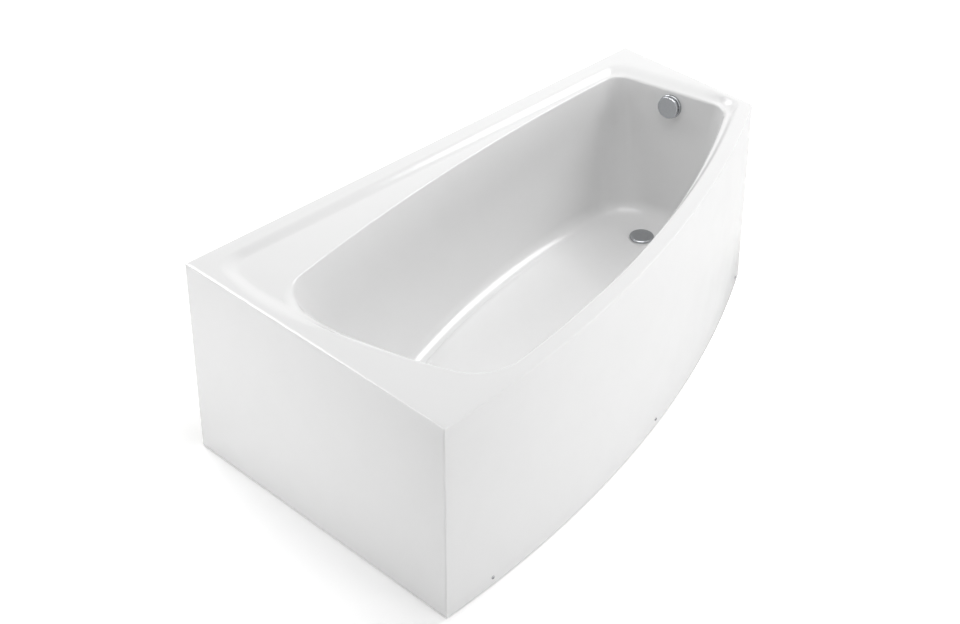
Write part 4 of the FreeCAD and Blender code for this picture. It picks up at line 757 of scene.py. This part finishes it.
# The stud: a core, and a ridge that climbs round it once each 1.75 mm.
stud_tree, given = new_tree("threaded_stud", {"Length": 0.118, "Core Radius": 0.0053,
                                              "Ridge": 0.0010, "Pitch": 0.00175})
turns = add(stud_tree, "ShaderNodeMath", {"operation": "DIVIDE"},
            {0: given["Length"], 1: given["Pitch"]})
turn_count = add(stud_tree, "ShaderNodeMath", {"operation": "SUBTRACT", 1: 1.6}, {0: turns})
climb = add(stud_tree, "ShaderNodeMath", {"operation": "MULTIPLY"}, {0: turn_count, 1: given["Pitch"]})
helix = add(stud_tree, "GeometryNodeCurveSpiral", {"Resolution": 22}, {
    "Rotations": turn_count, "Start Radius": given["Core Radius"],
    "End Radius": given["Core Radius"], "Height": climb})
ridge_section = add(stud_tree, "GeometryNodeCurvePrimitiveCircle", {"Resolution": 4},
                    {"Radius": given["Ridge"]})
ridge = add(stud_tree, "GeometryNodeCurveToMesh", {"Fill Caps": True}, {
    "Curve": helix, "Profile Curve": ridge_section})
lifted = add(stud_tree, "GeometryNodeTransform", {"Translation": (0, 0, 0.0013)}, {"Geometry": ridge})
core = add(stud_tree, "GeometryNodeMeshCylinder", {"Vertices": 32}, {
    "Radius": given["Core Radius"], "Depth": given["Length"]})
half_length = add(stud_tree, "ShaderNodeMath", {"operation": "MULTIPLY", 1: 0.5}, {0: given["Length"]})
core_shift = add(stud_tree, "ShaderNodeCombineXYZ", links={"Z": half_length})
raised_core = add(stud_tree, "GeometryNodeTransform", links={
    "Geometry": core, "Translation": core_shift})
stud_whole = add(stud_tree, "GeometryNodeJoinGeometry", links={"Geometry": [lifted, raised_core]})
end_tree(stud_tree, stud_whole, zinc)

# Foot plastic: black polyamide moulded with a fine grain.
foot_black = new_material("grained_black_polyamide")
grit = noise(foot_black, {"Scale": 1400.0, "Detail": 2.0})
scuffs = noise(foot_black, {"Scale": 45.0, "Detail": 4.0})
close(foot_black, {"IOR": 1.53, "Roughness": 0.5}, {
    "Base Color": between(foot_black, "#1E1E20", "#2C2C2F", scuffs),
    "Normal": bump(foot_black, 0.35, 0.0002, grit)})


def quads_round(sides, count):
    """The faces between a number of equal sections set in a circle."""
    index = np.arange(sides * count).reshape(sides, count)
    following = np.roll(index, -1, axis=0)
    return np.stack([index, following, np.roll(following, -1, axis=1), np.roll(index, -1, axis=1)], axis=-1)


def turned_ring(name, centre, section, sides=64, axis=(0, 0, 1)):
    """A round piece turned about an axis: the section's corners are radius and height, in mm."""
    angles = np.arange(sides) * 2 * math.pi / sides
    rings = np.array([[[r * math.cos(a), r * math.sin(a), h] for r, h in section] for a in angles])
    quads = quads_round(sides, len(section))
    if section[0][0] == 0 and section[-1][0] == 0:
        quads = quads[:, :-1]
    made = clean_object(name, rings.reshape(-1, 3) / 1000, quads.reshape(-1, 4).tolist(), 1e-6, 1e-7)
    made.data.transform(stood_along(centre, axis))
    return shade(made)


def rounded_section(corners, radius=0.6, count=4):
    """A section with each of its corners rounded, apart from those on the axis."""
    rounded = []
    for n, corner in enumerate(corners):
        here = np.array(corner, float)
        before = np.array(corners[n - 1], float) - here
        after = np.array(corners[(n + 1) % len(corners)], float) - here
        run = min(radius, np.linalg.norm(before) * 0.45, np.linalg.norm(after) * 0.45)
        if here[0] < 1e-6 or run < 1e-6:
            rounded.append(tuple(here))
            continue
        start = here + before / np.linalg.norm(before) * run
        end = here + after / np.linalg.norm(after) * run
        for step in range(count + 1):
            t = step / count
            rounded.append(tuple(start * (1 - t) ** 2 + here * 2 * t * (1 - t) + end * t ** 2))
    return rounded


FEET = ("head_back", "head_front", "middle_back", "middle_front", "tap_back", "tap_front")
STUD_START = 0.005
STUD_LENGTH = 0.118


def foot_centre(foot):
    low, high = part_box("leg_stud_" + foot)
    return (low[0] + high[0]) / 2, (low[1] + high[1]) / 2


for foot in FEET:
    x, y = foot_centre(foot)
    stud = made_by_tree("threaded_stud_" + foot, stud_tree, {"Length": STUD_LENGTH},
                        Matrix.Translation((x, y, STUD_START)))
    stand_for(shade(stud), zinc, "zinc_steel", "leg_stud_" + foot)
    pad = turned_ring("foot_pad_round_" + foot, (x, y, 0.0), rounded_section([
        (0, 0.0), (24.0, 0.0), (25.0, 1.0), (25.0, 4.2), (24.2, 5.0), (20.0, 5.4), (12.5, 6.4), (11.0, 8.0),
        (11.0, 14.0), (6.1, 14.0), (6.1, 5.0), (0, 5.0)], 0.7))
    stand_for(pad, foot_black, "foot_plastic", "foot_pad_" + foot)


def hex_nut(name, centre, across, bore_radius, low, high):
    """A hexagon nut with both its faces turned to a cone, as real nuts are."""
    sides = 96
    rim = across / 2 * 0.985
    grid = []
    for n in range(sides):
        angle = 2 * math.pi * n / sides
        flat = (angle + math.pi / 6) % (math.pi / 3) - math.pi / 6
        reach = across / 2 / math.cos(flat)
        cone = max(reach - rim, 0.0) * 0.58
        section = [(bore_radius, low), (bore_radius + 0.5, low), (rim, low), (reach, low + cone),
                   (reach, high - cone), (rim, high), (bore_radius + 0.5, high), (bore_radius, high)]
        grid.append([(r * math.cos(angle), r * math.sin(angle), z) for r, z in section])
    grid = np.array(grid) / 1000 + np.array([centre[0], centre[1], 0.0])
    faces = quads_round(sides, grid.shape[1]).reshape(-1, 4).tolist()
    return shade(clean_object(name, grid.reshape(-1, 3), faces, 1e-6), 20.0)


for kind, node, low, high in (("weld", "weld_nuts", 93.0, 103.0), ("lock", "lock_nuts", 87.0, 93.0)):
    nuts = [hex_nut("%s_nut_%s" % (kind, foot), foot_centre(foot), 18.9, 6.5, low + 0.05, high - 0.05)
            for foot in FEET]
    stand_for(joined(kind + "_nut_set", nuts), zinc, "zinc_steel", node)

# ---------------------------------------------------------------- front and end panels
# Two panels of acrylic-faced sheet, 4 mm thick, that hang on the frame and stand 2 mm off the floor.
# The front one is bent cold to the curve of the rim. Each has its lower edge turned in.

panel_sheet = new_material("acrylic_faced_sheet")
slow_swell = noise(panel_sheet, {"Scale": 5.0, "Detail": 1.0, "Roughness": 0.3})
wiped = noise(panel_sheet, {"Scale": 12.0, "Detail": 5.0, "Roughness": 0.6})
close(panel_sheet, {"IOR": 1.49}, {
    "Base Color": between(panel_sheet, "#E3E3E3", "#E6E6E6", wiped),
    "Roughness": between(panel_sheet, 0.14, 0.22, wiped),
    "Normal": bump(panel_sheet, 0.10, 0.003, slow_swell)})


def on_the_bow(x, inset):
    reach = math.sqrt((FRONT_RADIUS - inset) ** 2 - (x - FRONT_CENTRE[0]) ** 2)
    return FRONT_CENTRE[1] - reach


def bowed_strip(name, section, start, end, width=0.7):
    """A strip that follows the front; its section's corners are inset from the front and level."""
    points = []
    columns = 180
    for n in range(columns + 1):
        x = start + (end - start) * n / columns
        points += [(x, on_the_bow(x, inset), level) for inset, level in section]
    count = len(section)
    faces = []
    for n in range(columns):
        for k in range(count):
            a = n * count + k
            b = n * count + (k + 1) % count
            faces.append((a, b, b + count, a + count))
    faces.append(tuple(range(count)))
    faces.append(tuple(range(columns * count + count - 1, columns * count - 1, -1)))
    return shade(ease_edges(clean_object(name, row_place(points), faces), width, 3, 40), 40.0)


front_skin = bowed_strip("front_skin", [(0, 2.0), (0, 594.7), (4, 594.7), (4, 2.0)], 0.0, LENGTH)
front_return = bowed_strip("front_return", [(3.6, 2.0), (3.6, 6.0), (22, 6.0), (22, 2.0)], 22.3, 1699.5)
front_sheet = joined("front_panel_sheet", [front_skin, front_return])
stand_for(front_sheet, panel_sheet, "acrylic", "front_panel")


def eased_block(name, low, high):
    """A flat piece between two opposite corners, in mm from the back and head corner."""
    shape = bmesh.new()
    bmesh.ops.create_cube(shape, size=1.0)
    size = np.array(high, float) - np.array(low, float)
    middle = (np.array(high, float) + np.array(low, float)) / 2
    for vertex in shape.verts:
        vertex.co = Vector(row_place(middle + np.array(vertex.co) * size))
    bmesh.ops.bevel(shape, geom=shape.edges[:], offset=0.0007, segments=3, profile=0.5, affect="EDGES")
    mesh = bpy.data.meshes.new(name)
    shape.to_mesh(mesh)
    shape.free()
    return shade(linked(name, mesh), 40.0)


end_skin = eased_block("end_skin", (0, -965.4, 2.0), (4, 0, 594.7))
end_return = eased_block("end_return", (3.6, -943.4, 2.0), (22, -0.3, 6.0))
stand_for(joined("end_panel_sheet", [end_skin, end_return]), panel_sheet, "acrylic", "end_panel")

# ---------------------------------------------------------------- what holds the panels
# Pine strips glued behind the panels, folded steel hangers under the rim battens that carry them,
# steel angles by the floor, an aluminium angle down the corner, and five bright pan-head screws.

stand_for(bowed_strip("pine_strip_front", [(4, 523), (4, 553), (16, 553), (16, 523)], 45.0, 1655.0, 1.2),
          pine_along, "timber", "front_panel_strip")
stand_for(eased_copy("end_panel_strips", "pine_strips_end", 1.2), pine_across, "timber",
          "end_panel_strips")
for node, name in (("panel_hangers", "folded_hangers"), ("front_panel_brackets", "folded_front_angles"),
                   ("end_panel_brackets", "folded_end_angles"), ("wall_hooks", "folded_wall_hooks")):
    stand_for(eased_copy(node, name, 0.5), zinc, "zinc_steel", node)

# Mill-finish aluminium: pale grey with die lines along it, 0.5 mm apart.
mill = new_material("mill_finish_aluminium")
die_lines = noise(mill, {"Scale": 1.0, "Detail": 1.0}, {"Scale": (2000.0, 2000.0, 8.0)})
close(mill, {"Metallic": 1.0}, {
    "Base Color": between(mill, "#C2C4C6", "#CFD1D3", die_lines),
    "Roughness": between(mill, 0.28, 0.42, die_lines), "Normal": bump(mill, 0.2, 0.0001, die_lines)})
stand_for(eased_copy("corner_angle", "extruded_corner_angle", 0.4), mill, "angle_aluminium",
          "corner_angle")

# Bright stainless screws, head turned and pressed.
bright = new_material("bright_stainless_steel")
polish = noise(bright, {"Scale": 900.0, "Detail": 3.0})
close(bright, {"Metallic": 1.0}, {
    "Base Color": between(bright, "#9A9B9D", "#A8A9AB", polish),
    "Roughness": between(bright, 0.20, 0.32, polish)})

# The screw: a pan head with a cross recess, and a threaded shank from the stud's own tree.
screw_tree, given = new_tree("pan_head_screw", {"Head Radius": 0.0049, "Head Height": 0.0024,
                                                "Shank Length": 0.0158, "Recess Width": 0.0011})
tree_input(screw_tree, "Points", None, "NodeSocketGeometry")
blank = add(screw_tree, "GeometryNodeMeshCylinder", {"Vertices": 40, "Side Segments": 8}, {
    "Radius": given["Head Radius"], "Depth": given["Head Height"]})
half_head = add(screw_tree, "ShaderNodeMath", {"operation": "MULTIPLY", 1: 0.5},
                {0: given["Head Height"]})
head_shift = add(screw_tree, "ShaderNodeCombineXYZ", links={"Z": half_head})
head_blank = add(screw_tree, "GeometryNodeTransform", links={
    "Geometry": blank, "Translation": head_shift})
head_place = add(screw_tree, "GeometryNodeInputPosition")
head_parts = add(screw_tree, "ShaderNodeSeparateXYZ", links={"Vector": head_place})
height_share = add(screw_tree, "ShaderNodeMath", {"operation": "DIVIDE"},
                   {0: head_parts.outputs["Z"], 1: given["Head Height"]})
cubed = add(screw_tree, "ShaderNodeMath", {"operation": "POWER", 1: 3.0}, {0: height_share})
narrowed = add(screw_tree, "ShaderNodeMath", {"operation": "MULTIPLY_ADD", 1: -0.38, 2: 1.0},
               {0: cubed})
head_scale = add(screw_tree, "ShaderNodeCombineXYZ", {"Z": 1.0}, {"X": narrowed, "Y": narrowed})
domed_place = add(screw_tree, "ShaderNodeVectorMath", {"operation": "MULTIPLY"},
                  {0: head_place, 1: head_scale})
domed = add(screw_tree, "GeometryNodeSetPosition", links={
    "Geometry": head_blank, "Position": domed_place})
arm_size = add(screw_tree, "ShaderNodeCombineXYZ", {"X": 0.0054, "Z": 0.0026},
               {"Y": given["Recess Width"]})
arm = add(screw_tree, "GeometryNodeMeshCube", links={"Size": arm_size})
arm_shift = add(screw_tree, "ShaderNodeCombineXYZ", links={"Z": given["Head Height"]})
first_arm = add(screw_tree, "GeometryNodeTransform", links={"Geometry": arm, "Translation": arm_shift})
second_arm = add(screw_tree, "GeometryNodeTransform", {"Rotation": (0.0, 0.0, math.pi / 2)},
                 {"Geometry": first_arm})
recessed = add(screw_tree, "GeometryNodeMeshBoolean", {"operation": "DIFFERENCE"},
               {"Mesh 1": domed, "Mesh 2": [first_arm, second_arm]})
shank = add(screw_tree, "GeometryNodeGroup", {"node_tree": stud_tree}, {"Length": given["Shank Length"]})
for label, value in (("Core Radius", 0.00145), ("Ridge", 0.0005), ("Pitch", 0.0014)):
    shank.inputs[label].default_value = value
turned_shank = add(screw_tree, "GeometryNodeTransform", {"Rotation": (math.pi, 0.0, 0.0)},
                   {"Geometry": shank})
whole_screw = add(screw_tree, "GeometryNodeJoinGeometry", links={"Geometry": [recessed, turned_shank]})
facing = add(screw_tree, "GeometryNodeInputNamedAttribute",
             {"data_type": "FLOAT_VECTOR", "Name": "facing"})
aimed = add(screw_tree, "FunctionNodeAlignRotationToVector", {"axis": "Z"},
            {"Vector": facing.outputs["Attribute"]})
set_in = add(screw_tree, "GeometryNodeInstanceOnPoints", links={
    "Points": given["Points"], "Instance": whole_screw, "Rotation": aimed})
end_tree(screw_tree, set_in, bright)


def held_points(name, points, directions):
    """A mesh of bare points, each with the direction that a screw on it faces."""
    mesh = bpy.data.meshes.new(name)
    mesh.from_pydata([tuple(p) for p in points], [], [])
    kept = mesh.attributes.new("facing", "FLOAT_VECTOR", "POINT")
    kept.data.foreach_set("vector", np.array(directions, float).ravel())
    return mesh


HEAD_STATION = 168.0
TAP_STATION = 1650.0
MIDDLE_STATION = HEAD_STATION + 0.526 * (TAP_STATION - HEAD_STATION)
FRONT_SCREW_LEVEL = 27.0
END_SCREW_FACE = 19.3
END_SCREW_LEVEL = 45.0
screw_points = []
screw_faces = []
for x in (HEAD_STATION, MIDDLE_STATION, TAP_STATION):
    away = np.array([x, on_the_bow(x, 0.0)]) - FRONT_CENTRE
    out = away / np.linalg.norm(away)
    screw_points.append(row_place(level_point(FRONT_CENTRE + out * FRONT_RADIUS, FRONT_SCREW_LEVEL)))
    screw_faces.append((out[0], out[1], 0.0))
for y in (-250.0, -620.0):
    screw_points.append(row_place(np.array([END_SCREW_FACE, y, END_SCREW_LEVEL])))
    screw_faces.append((1.0, 0.0, 0.0))
screws = made_by_tree("pan_head_screws", screw_tree, {}, None,
                      held_points("screw_points", screw_points, screw_faces))
stand_for(shade(screws, 30.0), bright, "screw_steel", "panel_screws")

# ---------------------------------------------------------------- waste
# A chromed flange and a lift-up plug in the floor, a black seal under each, and below the board a
# moulded plastic body with a bottle trap, its slip nuts ribbed for the hand, and the outlet tube.

# Chrome: a thin bright layer on brass, polished, darker than silver; wiping leaves it a fine haze.
chrome = new_material("polished_chrome_plate")
wiping = noise(chrome, {"Scale": 160.0, "Detail": 4.0})
close(chrome, {"Metallic": 1.0}, {
    "Base Color": between(chrome, "#A9ABAE", "#B4B6B9", wiping),
    "Roughness": between(chrome, 0.09, 0.17, wiping)})

# Rubber: black, moulded, dull, with a fine tooth and a faint grey bloom.
rubber = new_material("moulded_black_rubber")
tooth = noise(rubber, {"Scale": 1100.0, "Detail": 2.0})
bloom = noise(rubber, {"Scale": 60.0, "Detail": 4.0})
close(rubber, {"IOR": 1.52, "Roughness": 0.7}, {
    "Base Color": between(rubber, "#1B1B1C", "#29292B", bloom), "Normal": bump(rubber, 0.3, 0.0002, tooth)})

# White polypropylene: moulded, waxy, slightly warm, with the faint flow of the melt in its gloss.
moulded = new_material("moulded_white_polypropylene")
melt = noise(moulded, {"Scale": 70.0, "Detail": 3.0, "Distortion": 1.2})
close(moulded, {"IOR": 1.49}, {
    "Base Color": between(moulded, "#DEDED8", "#E7E7E2", melt),
    "Roughness": between(moulded, 0.30, 0.42, melt)})

WASTE = row_place(np.array([DRAIN[0], DRAIN[1], 0.0]))
plug = turned_ring("waste_plug_disc", WASTE, rounded_section([
    (0, 136.3), (3.4, 136.3), (4.0, 137.2), (4.0, 181.3), (36.4, 181.3), (37.0, 182.0), (36.2, 184.4),
    (33.4, 185.9), (28.0, 186.3), (0, 186.3)], 1.6), 96)
stand_for(plug, chrome, "chrome", "drain_plug")
stand_for(eased_copy("drain_flange", "waste_flange", 0.5), chrome, "chrome", "drain_flange")
for node, section in (
        ("plug_seal", [(12, 178.6), (19.7, 178.6), (19.7, 181.3), (12, 181.3)]),
        ("drain_gasket", [(24, 166), (36, 166), (36, 169), (24, 169)])):
    made = turned_ring("rubber_" + node, WASTE, rounded_section(section, 0.9))
    stand_for(made, rubber, "rubber", node)

# Ribs for the hand: short bars set round a circle, each facing outwards.
rib_tree, given = new_tree("grip_ribs", {"Radius": 0.025, "Length": 0.014, "Width": 0.0022,
                                         "Height": 0.0016, "Count": 28})
circle = add(rib_tree, "GeometryNodeMeshCircle", links={
    "Vertices": given["Count"], "Radius": given["Radius"]})
rib_size = add(rib_tree, "ShaderNodeCombineXYZ", links={
    "X": given["Height"], "Y": given["Width"], "Z": given["Length"]})
rib_bar = add(rib_tree, "GeometryNodeMeshCube", links={"Size": rib_size})
rib_place = add(rib_tree, "GeometryNodeInputPosition")
rib_turn = add(rib_tree, "FunctionNodeAlignRotationToVector", {"axis": "X"}, {"Vector": rib_place})
rib_set = add(rib_tree, "GeometryNodeInstanceOnPoints", links={
    "Points": circle, "Instance": rib_bar, "Rotation": rib_turn})
end_tree(rib_tree, rib_set, moulded)


def ribbed_nut(name, centre, axis, section, radius, low, high, count):
    """A round plastic nut with ribs that stand up to its full radius, in mm."""
    body = turned_ring(name, centre, rounded_section(section, 0.8), 96, axis)
    middle = Vector(centre) + Vector(axis).normalized() * (low + high) / 2000
    ribs = made_by_tree(name + "_ribs", rib_tree, {
        "Radius": (radius - 1.0) / 1000, "Length": (high - low) / 1000, "Width": 0.0021,
        "Height": 0.0019, "Count": count}, stood_along(middle, axis))
    return joined(name, [body, ribs])


stand_for(eased_copy("drain_body", "waste_body", 0.7), moulded, "white_plastic", "drain_body")
stand_for(eased_copy("trap_cup", "bottle_trap_cup", 1.2), moulded, "white_plastic", "trap_cup")
stand_for(ribbed_nut("trap_head_nut", WASTE, (0, 0, 1), [
    (20, 100), (42, 100), (42, 106), (26.2, 106), (25.2, 107.5), (25.2, 122.6), (24, 124), (20, 124)],
    27.0, 108.0, 122.4, 34), moulded, "white_plastic", "trap_head")
outlet_centre = WASTE + np.array([0.0, 0.0, 0.072])
stand_for(turned_ring("outlet_tube", outlet_centre, rounded_section([
    (17, 39), (17, 175), (19.4, 175), (20, 173.6), (20, 64), (19.5, 64), (19.5, 39)], 0.5), 72, (1, 0, 0)),
    moulded, "white_plastic", "waste_outlet")
stand_for(ribbed_nut("outlet_slip_nut", outlet_centre, (1, 0, 0), [
    (19.5, 42), (25.2, 42), (25.2, 60.6), (23.8, 62), (19.5, 62)], 27.0, 44.0, 60.4, 34),
    moulded, "white_plastic", "outlet_nut")

# Drawn steel rod: grey, with fine lines along it.
drawn_rod = new_material("drawn_steel_rod")
rod_lines = noise(drawn_rod, {"Scale": 1.0, "Detail": 1.0}, {"Scale": (2600.0, 2600.0, 25.0)})
close(drawn_rod, {"Metallic": 1.0}, {
    "Base Color": between(drawn_rod, "#A5A7A9", "#B5B7B9", rod_lines),
    "Roughness": between(drawn_rod, 0.25, 0.4, rod_lines)})
stand_for(turned_ring("plug_lift_rod", WASTE, rounded_section([
    (0, 104.0), (2.4, 104.0), (3, 104.8), (3, 135.2), (2.4, 136.0), (0, 136.0)], 0.5), 32),
    drawn_rod, "lift_steel", "lift_rod")

# ---------------------------------------------------------------- overflow
# In the wall at the tap end: a chromed ring against the acrylic and a round chromed knob in front of
# it, whose spindle runs through a plastic cup behind the wall. A crank on it pulls a cable.

rosette = turned_ring("overflow_ring", OVERFLOW, rounded_section([
    (24, 0.3), (36, 0.3), (36, 7.6), (34.6, 9.3), (24, 9.3)], 0.9), 96, INTO_WELL)
stand_for(rosette, chrome, "chrome", "overflow_rosette")
knob = turned_ring("overflow_turning_knob", OVERFLOW, rounded_section([
    (0, 20.5), (30.6, 20.5), (32.2, 20.1), (33, 19.0), (33, 11.0), (30, 11.0), (30, 17.5), (5, 17.5),
    (5, -46.6), (4.3, -47.3), (0, -47.3)], 0.8), 96, INTO_WELL)
stand_for(knob, chrome, "chrome", "overflow_knob")
stand_for(turned_ring("rubber_overflow_gasket", OVERFLOW, rounded_section([
    (24, -12.3), (33, -12.3), (33, -9.3), (24, -9.3)], 0.9), 72, INTO_WELL),
    rubber, "rubber", "overflow_gasket")
stand_for(eased_copy("overflow_cup", "overflow_back_cup", 0.8), moulded, "white_plastic", "overflow_cup")

# Acetal: grey, smooth, with a soft sheen.
acetal = new_material("grey_acetal")
flow = noise(acetal, {"Scale": 150.0, "Detail": 3.0})
close(acetal, {"IOR": 1.48, "Roughness": 0.33}, {"Base Color": between(acetal, "#5C5F64", "#696C71", flow)})
stand_for(turned_ring("cable_drum", OVERFLOW, rounded_section([
    (5, -36.3), (14, -36.3), (14, -35.4), (12.6, -34.9), (12.6, -33.7), (14, -33.2), (14, -32.3),
    (5, -32.3)], 0.3), 64, INTO_WELL), acetal, "lever_plastic", "cable_crank")

# A pipe or a cable along a line with one round bend in it.
pipe_tree, given = new_tree("bent_pipe", {"Radius": 0.013, "Bend": 0.06})
tree_input(pipe_tree, "Line", None, "NodeSocketGeometry")
pipe_line = add(pipe_tree, "GeometryNodeMeshToCurve", links={"Mesh": given["Line"]})
bent = add(pipe_tree, "GeometryNodeFilletCurve", {"mode": "POLY", "Count": 40},
           {"Curve": pipe_line, "Radius": given["Bend"]})
pipe_section = add(pipe_tree, "GeometryNodeCurvePrimitiveCircle", {"Resolution": 48},
                   {"Radius": given["Radius"]})
pipe_skin = add(pipe_tree, "GeometryNodeCurveToMesh", {"Fill Caps": True}, {
    "Curve": bent, "Profile Curve": pipe_section})
end_tree(pipe_tree, pipe_skin, moulded)


def bent_pipe(name, top, start, end_point, radius):
    """A pipe that drops from a top, bends once at a lower level and ends level at a point."""
    line = bpy.data.meshes.new(name)
    line.from_pydata([tuple(top), tuple(start), tuple(end_point)], [(0, 1), (1, 2)], [])
    return shade(made_by_tree(name, pipe_tree, {"Radius": radius, "Bend": 0.06}, None, line), 60.0)


CUP = np.array([0.78760, 0.22399, 0.48586])
to_waste = np.array([WASTE[0] - CUP[0], WASTE[1] - CUP[1], 0.0])
to_waste = to_waste / np.linalg.norm(to_waste)
PIPE_LEVEL = 0.137
corner = np.array([CUP[0], CUP[1], PIPE_LEVEL])
inlet_end = np.array([WASTE[0], WASTE[1], PIPE_LEVEL]) - to_waste * 0.045
stand_for(bent_pipe("bent_overflow_pipe", CUP, corner, inlet_end, 0.0129),
          moulded, "white_plastic", "overflow_pipe")

# Cable sleeve: black extruded PVC, glossy, with slow waves where it was coiled.
sleeve = new_material("extruded_black_pvc")
coil_wave = noise(sleeve, {"Scale": 90.0, "Detail": 3.0})
close(sleeve, {"IOR": 1.53}, {
    "Base Color": between(sleeve, "#2B2B2D", "#37373A", coil_wave),
    "Roughness": between(sleeve, 0.22, 0.36, coil_wave)})
cable_top = np.array([0.794288, 0.203561, 0.48586])
side_shift = cable_top - CUP
cable_corner = corner + side_shift
cable_end = np.array([WASTE[0], WASTE[1], PIPE_LEVEL]) + side_shift - to_waste * 0.038
stand_for(bent_pipe("waste_control_cable", cable_top, cable_corner, cable_end, 0.00298),
          sleeve, "cable_sleeve", "control_cable")

upper_pipe_nut = ribbed_nut("upper_hose_nut", np.array([CUP[0], CUP[1], 0.0]), (0, 0, 1), [
    (13, 475.9), (14.3, 475.9), (14.3, 495.8), (13, 495.8)], 15.5, 477.5, 494.3, 22)
lower_pipe_nut = ribbed_nut("lower_hose_nut", np.array([WASTE[0], WASTE[1], PIPE_LEVEL]), -to_waste, [
    (13, 35), (14.3, 35), (14.3, 55), (13, 55)], 15.5, 36.5, 53.5, 22)
stand_for(joined("hose_nuts", [upper_pipe_nut, lower_pipe_nut]), moulded, "white_plastic", "pipe_nuts")

# ---------------------------------------------------------------- floor, light and camera
# A pale floor that the camera sees as white, five wide soft lamps and a weak world. Their strengths
# follow how light each side of the bath is in the photo: most comes from the right and behind.

floor_mesh = bpy.data.meshes.new("studio_floor")
floor_mesh.from_pydata([(-30, -30, -0.0005), (30, -30, -0.0005), (30, 30, -0.0005), (-30, 30, -0.0005)],
                       [], [(0, 1, 2, 3)])
studio_floor = linked("studio_floor", floor_mesh)
paper = new_material("matt_white_paper")
paper_path = add(paper, "ShaderNodeLightPath")
paper_seen = add(paper, "ShaderNodeMath", {"operation": "MULTIPLY", 1: 0.30},
                 {0: paper_path.outputs["Is Camera Ray"]})
paper_face = add(paper, "ShaderNodeBsdfDiffuse", {"Color": linear("#F2F2F2")})
paper_glow = add(paper, "ShaderNodeEmission", {"Color": (1, 1, 1, 1)}, {"Strength": paper_seen})
paper_whole = add(paper, "ShaderNodeAddShader", links={0: paper_face, 1: paper_glow})
add(paper, "ShaderNodeOutputMaterial", links={"Surface": paper_whole})
floor_mesh.materials.append(paper)

world = bpy.data.worlds.new("studio")
bpy.context.scene.world = world
world.use_nodes = True
world.node_tree.nodes.clear()
sky_path = add(world, "ShaderNodeLightPath")
seen = add(world, "ShaderNodeMath", {"operation": "MAXIMUM"}, {
    0: sky_path.outputs["Is Camera Ray"], 1: sky_path.outputs["Is Glossy Ray"]})
seen_through = add(world, "ShaderNodeMath", {"operation": "MAXIMUM"}, {
    0: seen, 1: sky_path.outputs["Is Transmission Ray"]})
sky_strength = add(world, "ShaderNodeMapRange", {"To Min": 0.19, "To Max": 1.0},
                   {"Value": seen_through})
sky = add(world, "ShaderNodeBackground", {"Color": (1, 1, 1, 1)}, {"Strength": sky_strength})
add(world, "ShaderNodeOutputWorld", links={"Surface": sky})


def soft_lamp(name, place, target, size, power):
    lamp = bpy.data.lights.new(name, "AREA")
    lamp.shape = "DISK"
    lamp.size = size
    lamp.energy = power
    made = linked(name, lamp)
    made.location = place
    made.rotation_euler = (Vector(target) - Vector(place)).to_track_quat("-Z", "Y").to_euler()


MIDDLE = (0.0, 0.0, 0.3)
soft_lamp("right_lamp", (4.0, -1.0, 4.0), MIDDLE, 3.0, 140)
soft_lamp("back_lamp", (0.0, 4.0, 4.0), MIDDLE, 3.0, 120)
soft_lamp("top_lamp", (0.0, 0.0, 5.0), MIDDLE, 3.0, 70)
soft_lamp("front_lamp", (0.5, -4.0, 0.6), MIDDLE, 2.0, 75)
soft_lamp("fill_lamp", (-3.2, 0.6, 0.35), (-0.85, 0.0, 0.3), 1.5, 41)

view = bpy.data.cameras.new("camera")
view.lens = 76.8
view.sensor_width = 36.0
view.clip_start = 0.05
view.clip_end = 200.0
camera = linked("camera", view)
azimuth = math.radians(-44.66)
elevation = math.radians(35.02)
back = Vector((math.sin(azimuth) * math.cos(elevation), -math.cos(azimuth) * math.cos(elevation),
               math.sin(elevation)))
camera.location = (-3.410, -3.192, 3.541)
camera.rotation_mode = "QUATERNION"
camera.rotation_quaternion = (-back).to_track_quat("-Z", "Y")
bpy.context.scene.camera = camera
bpy.context.scene.view_settings.view_transform = "Standard"
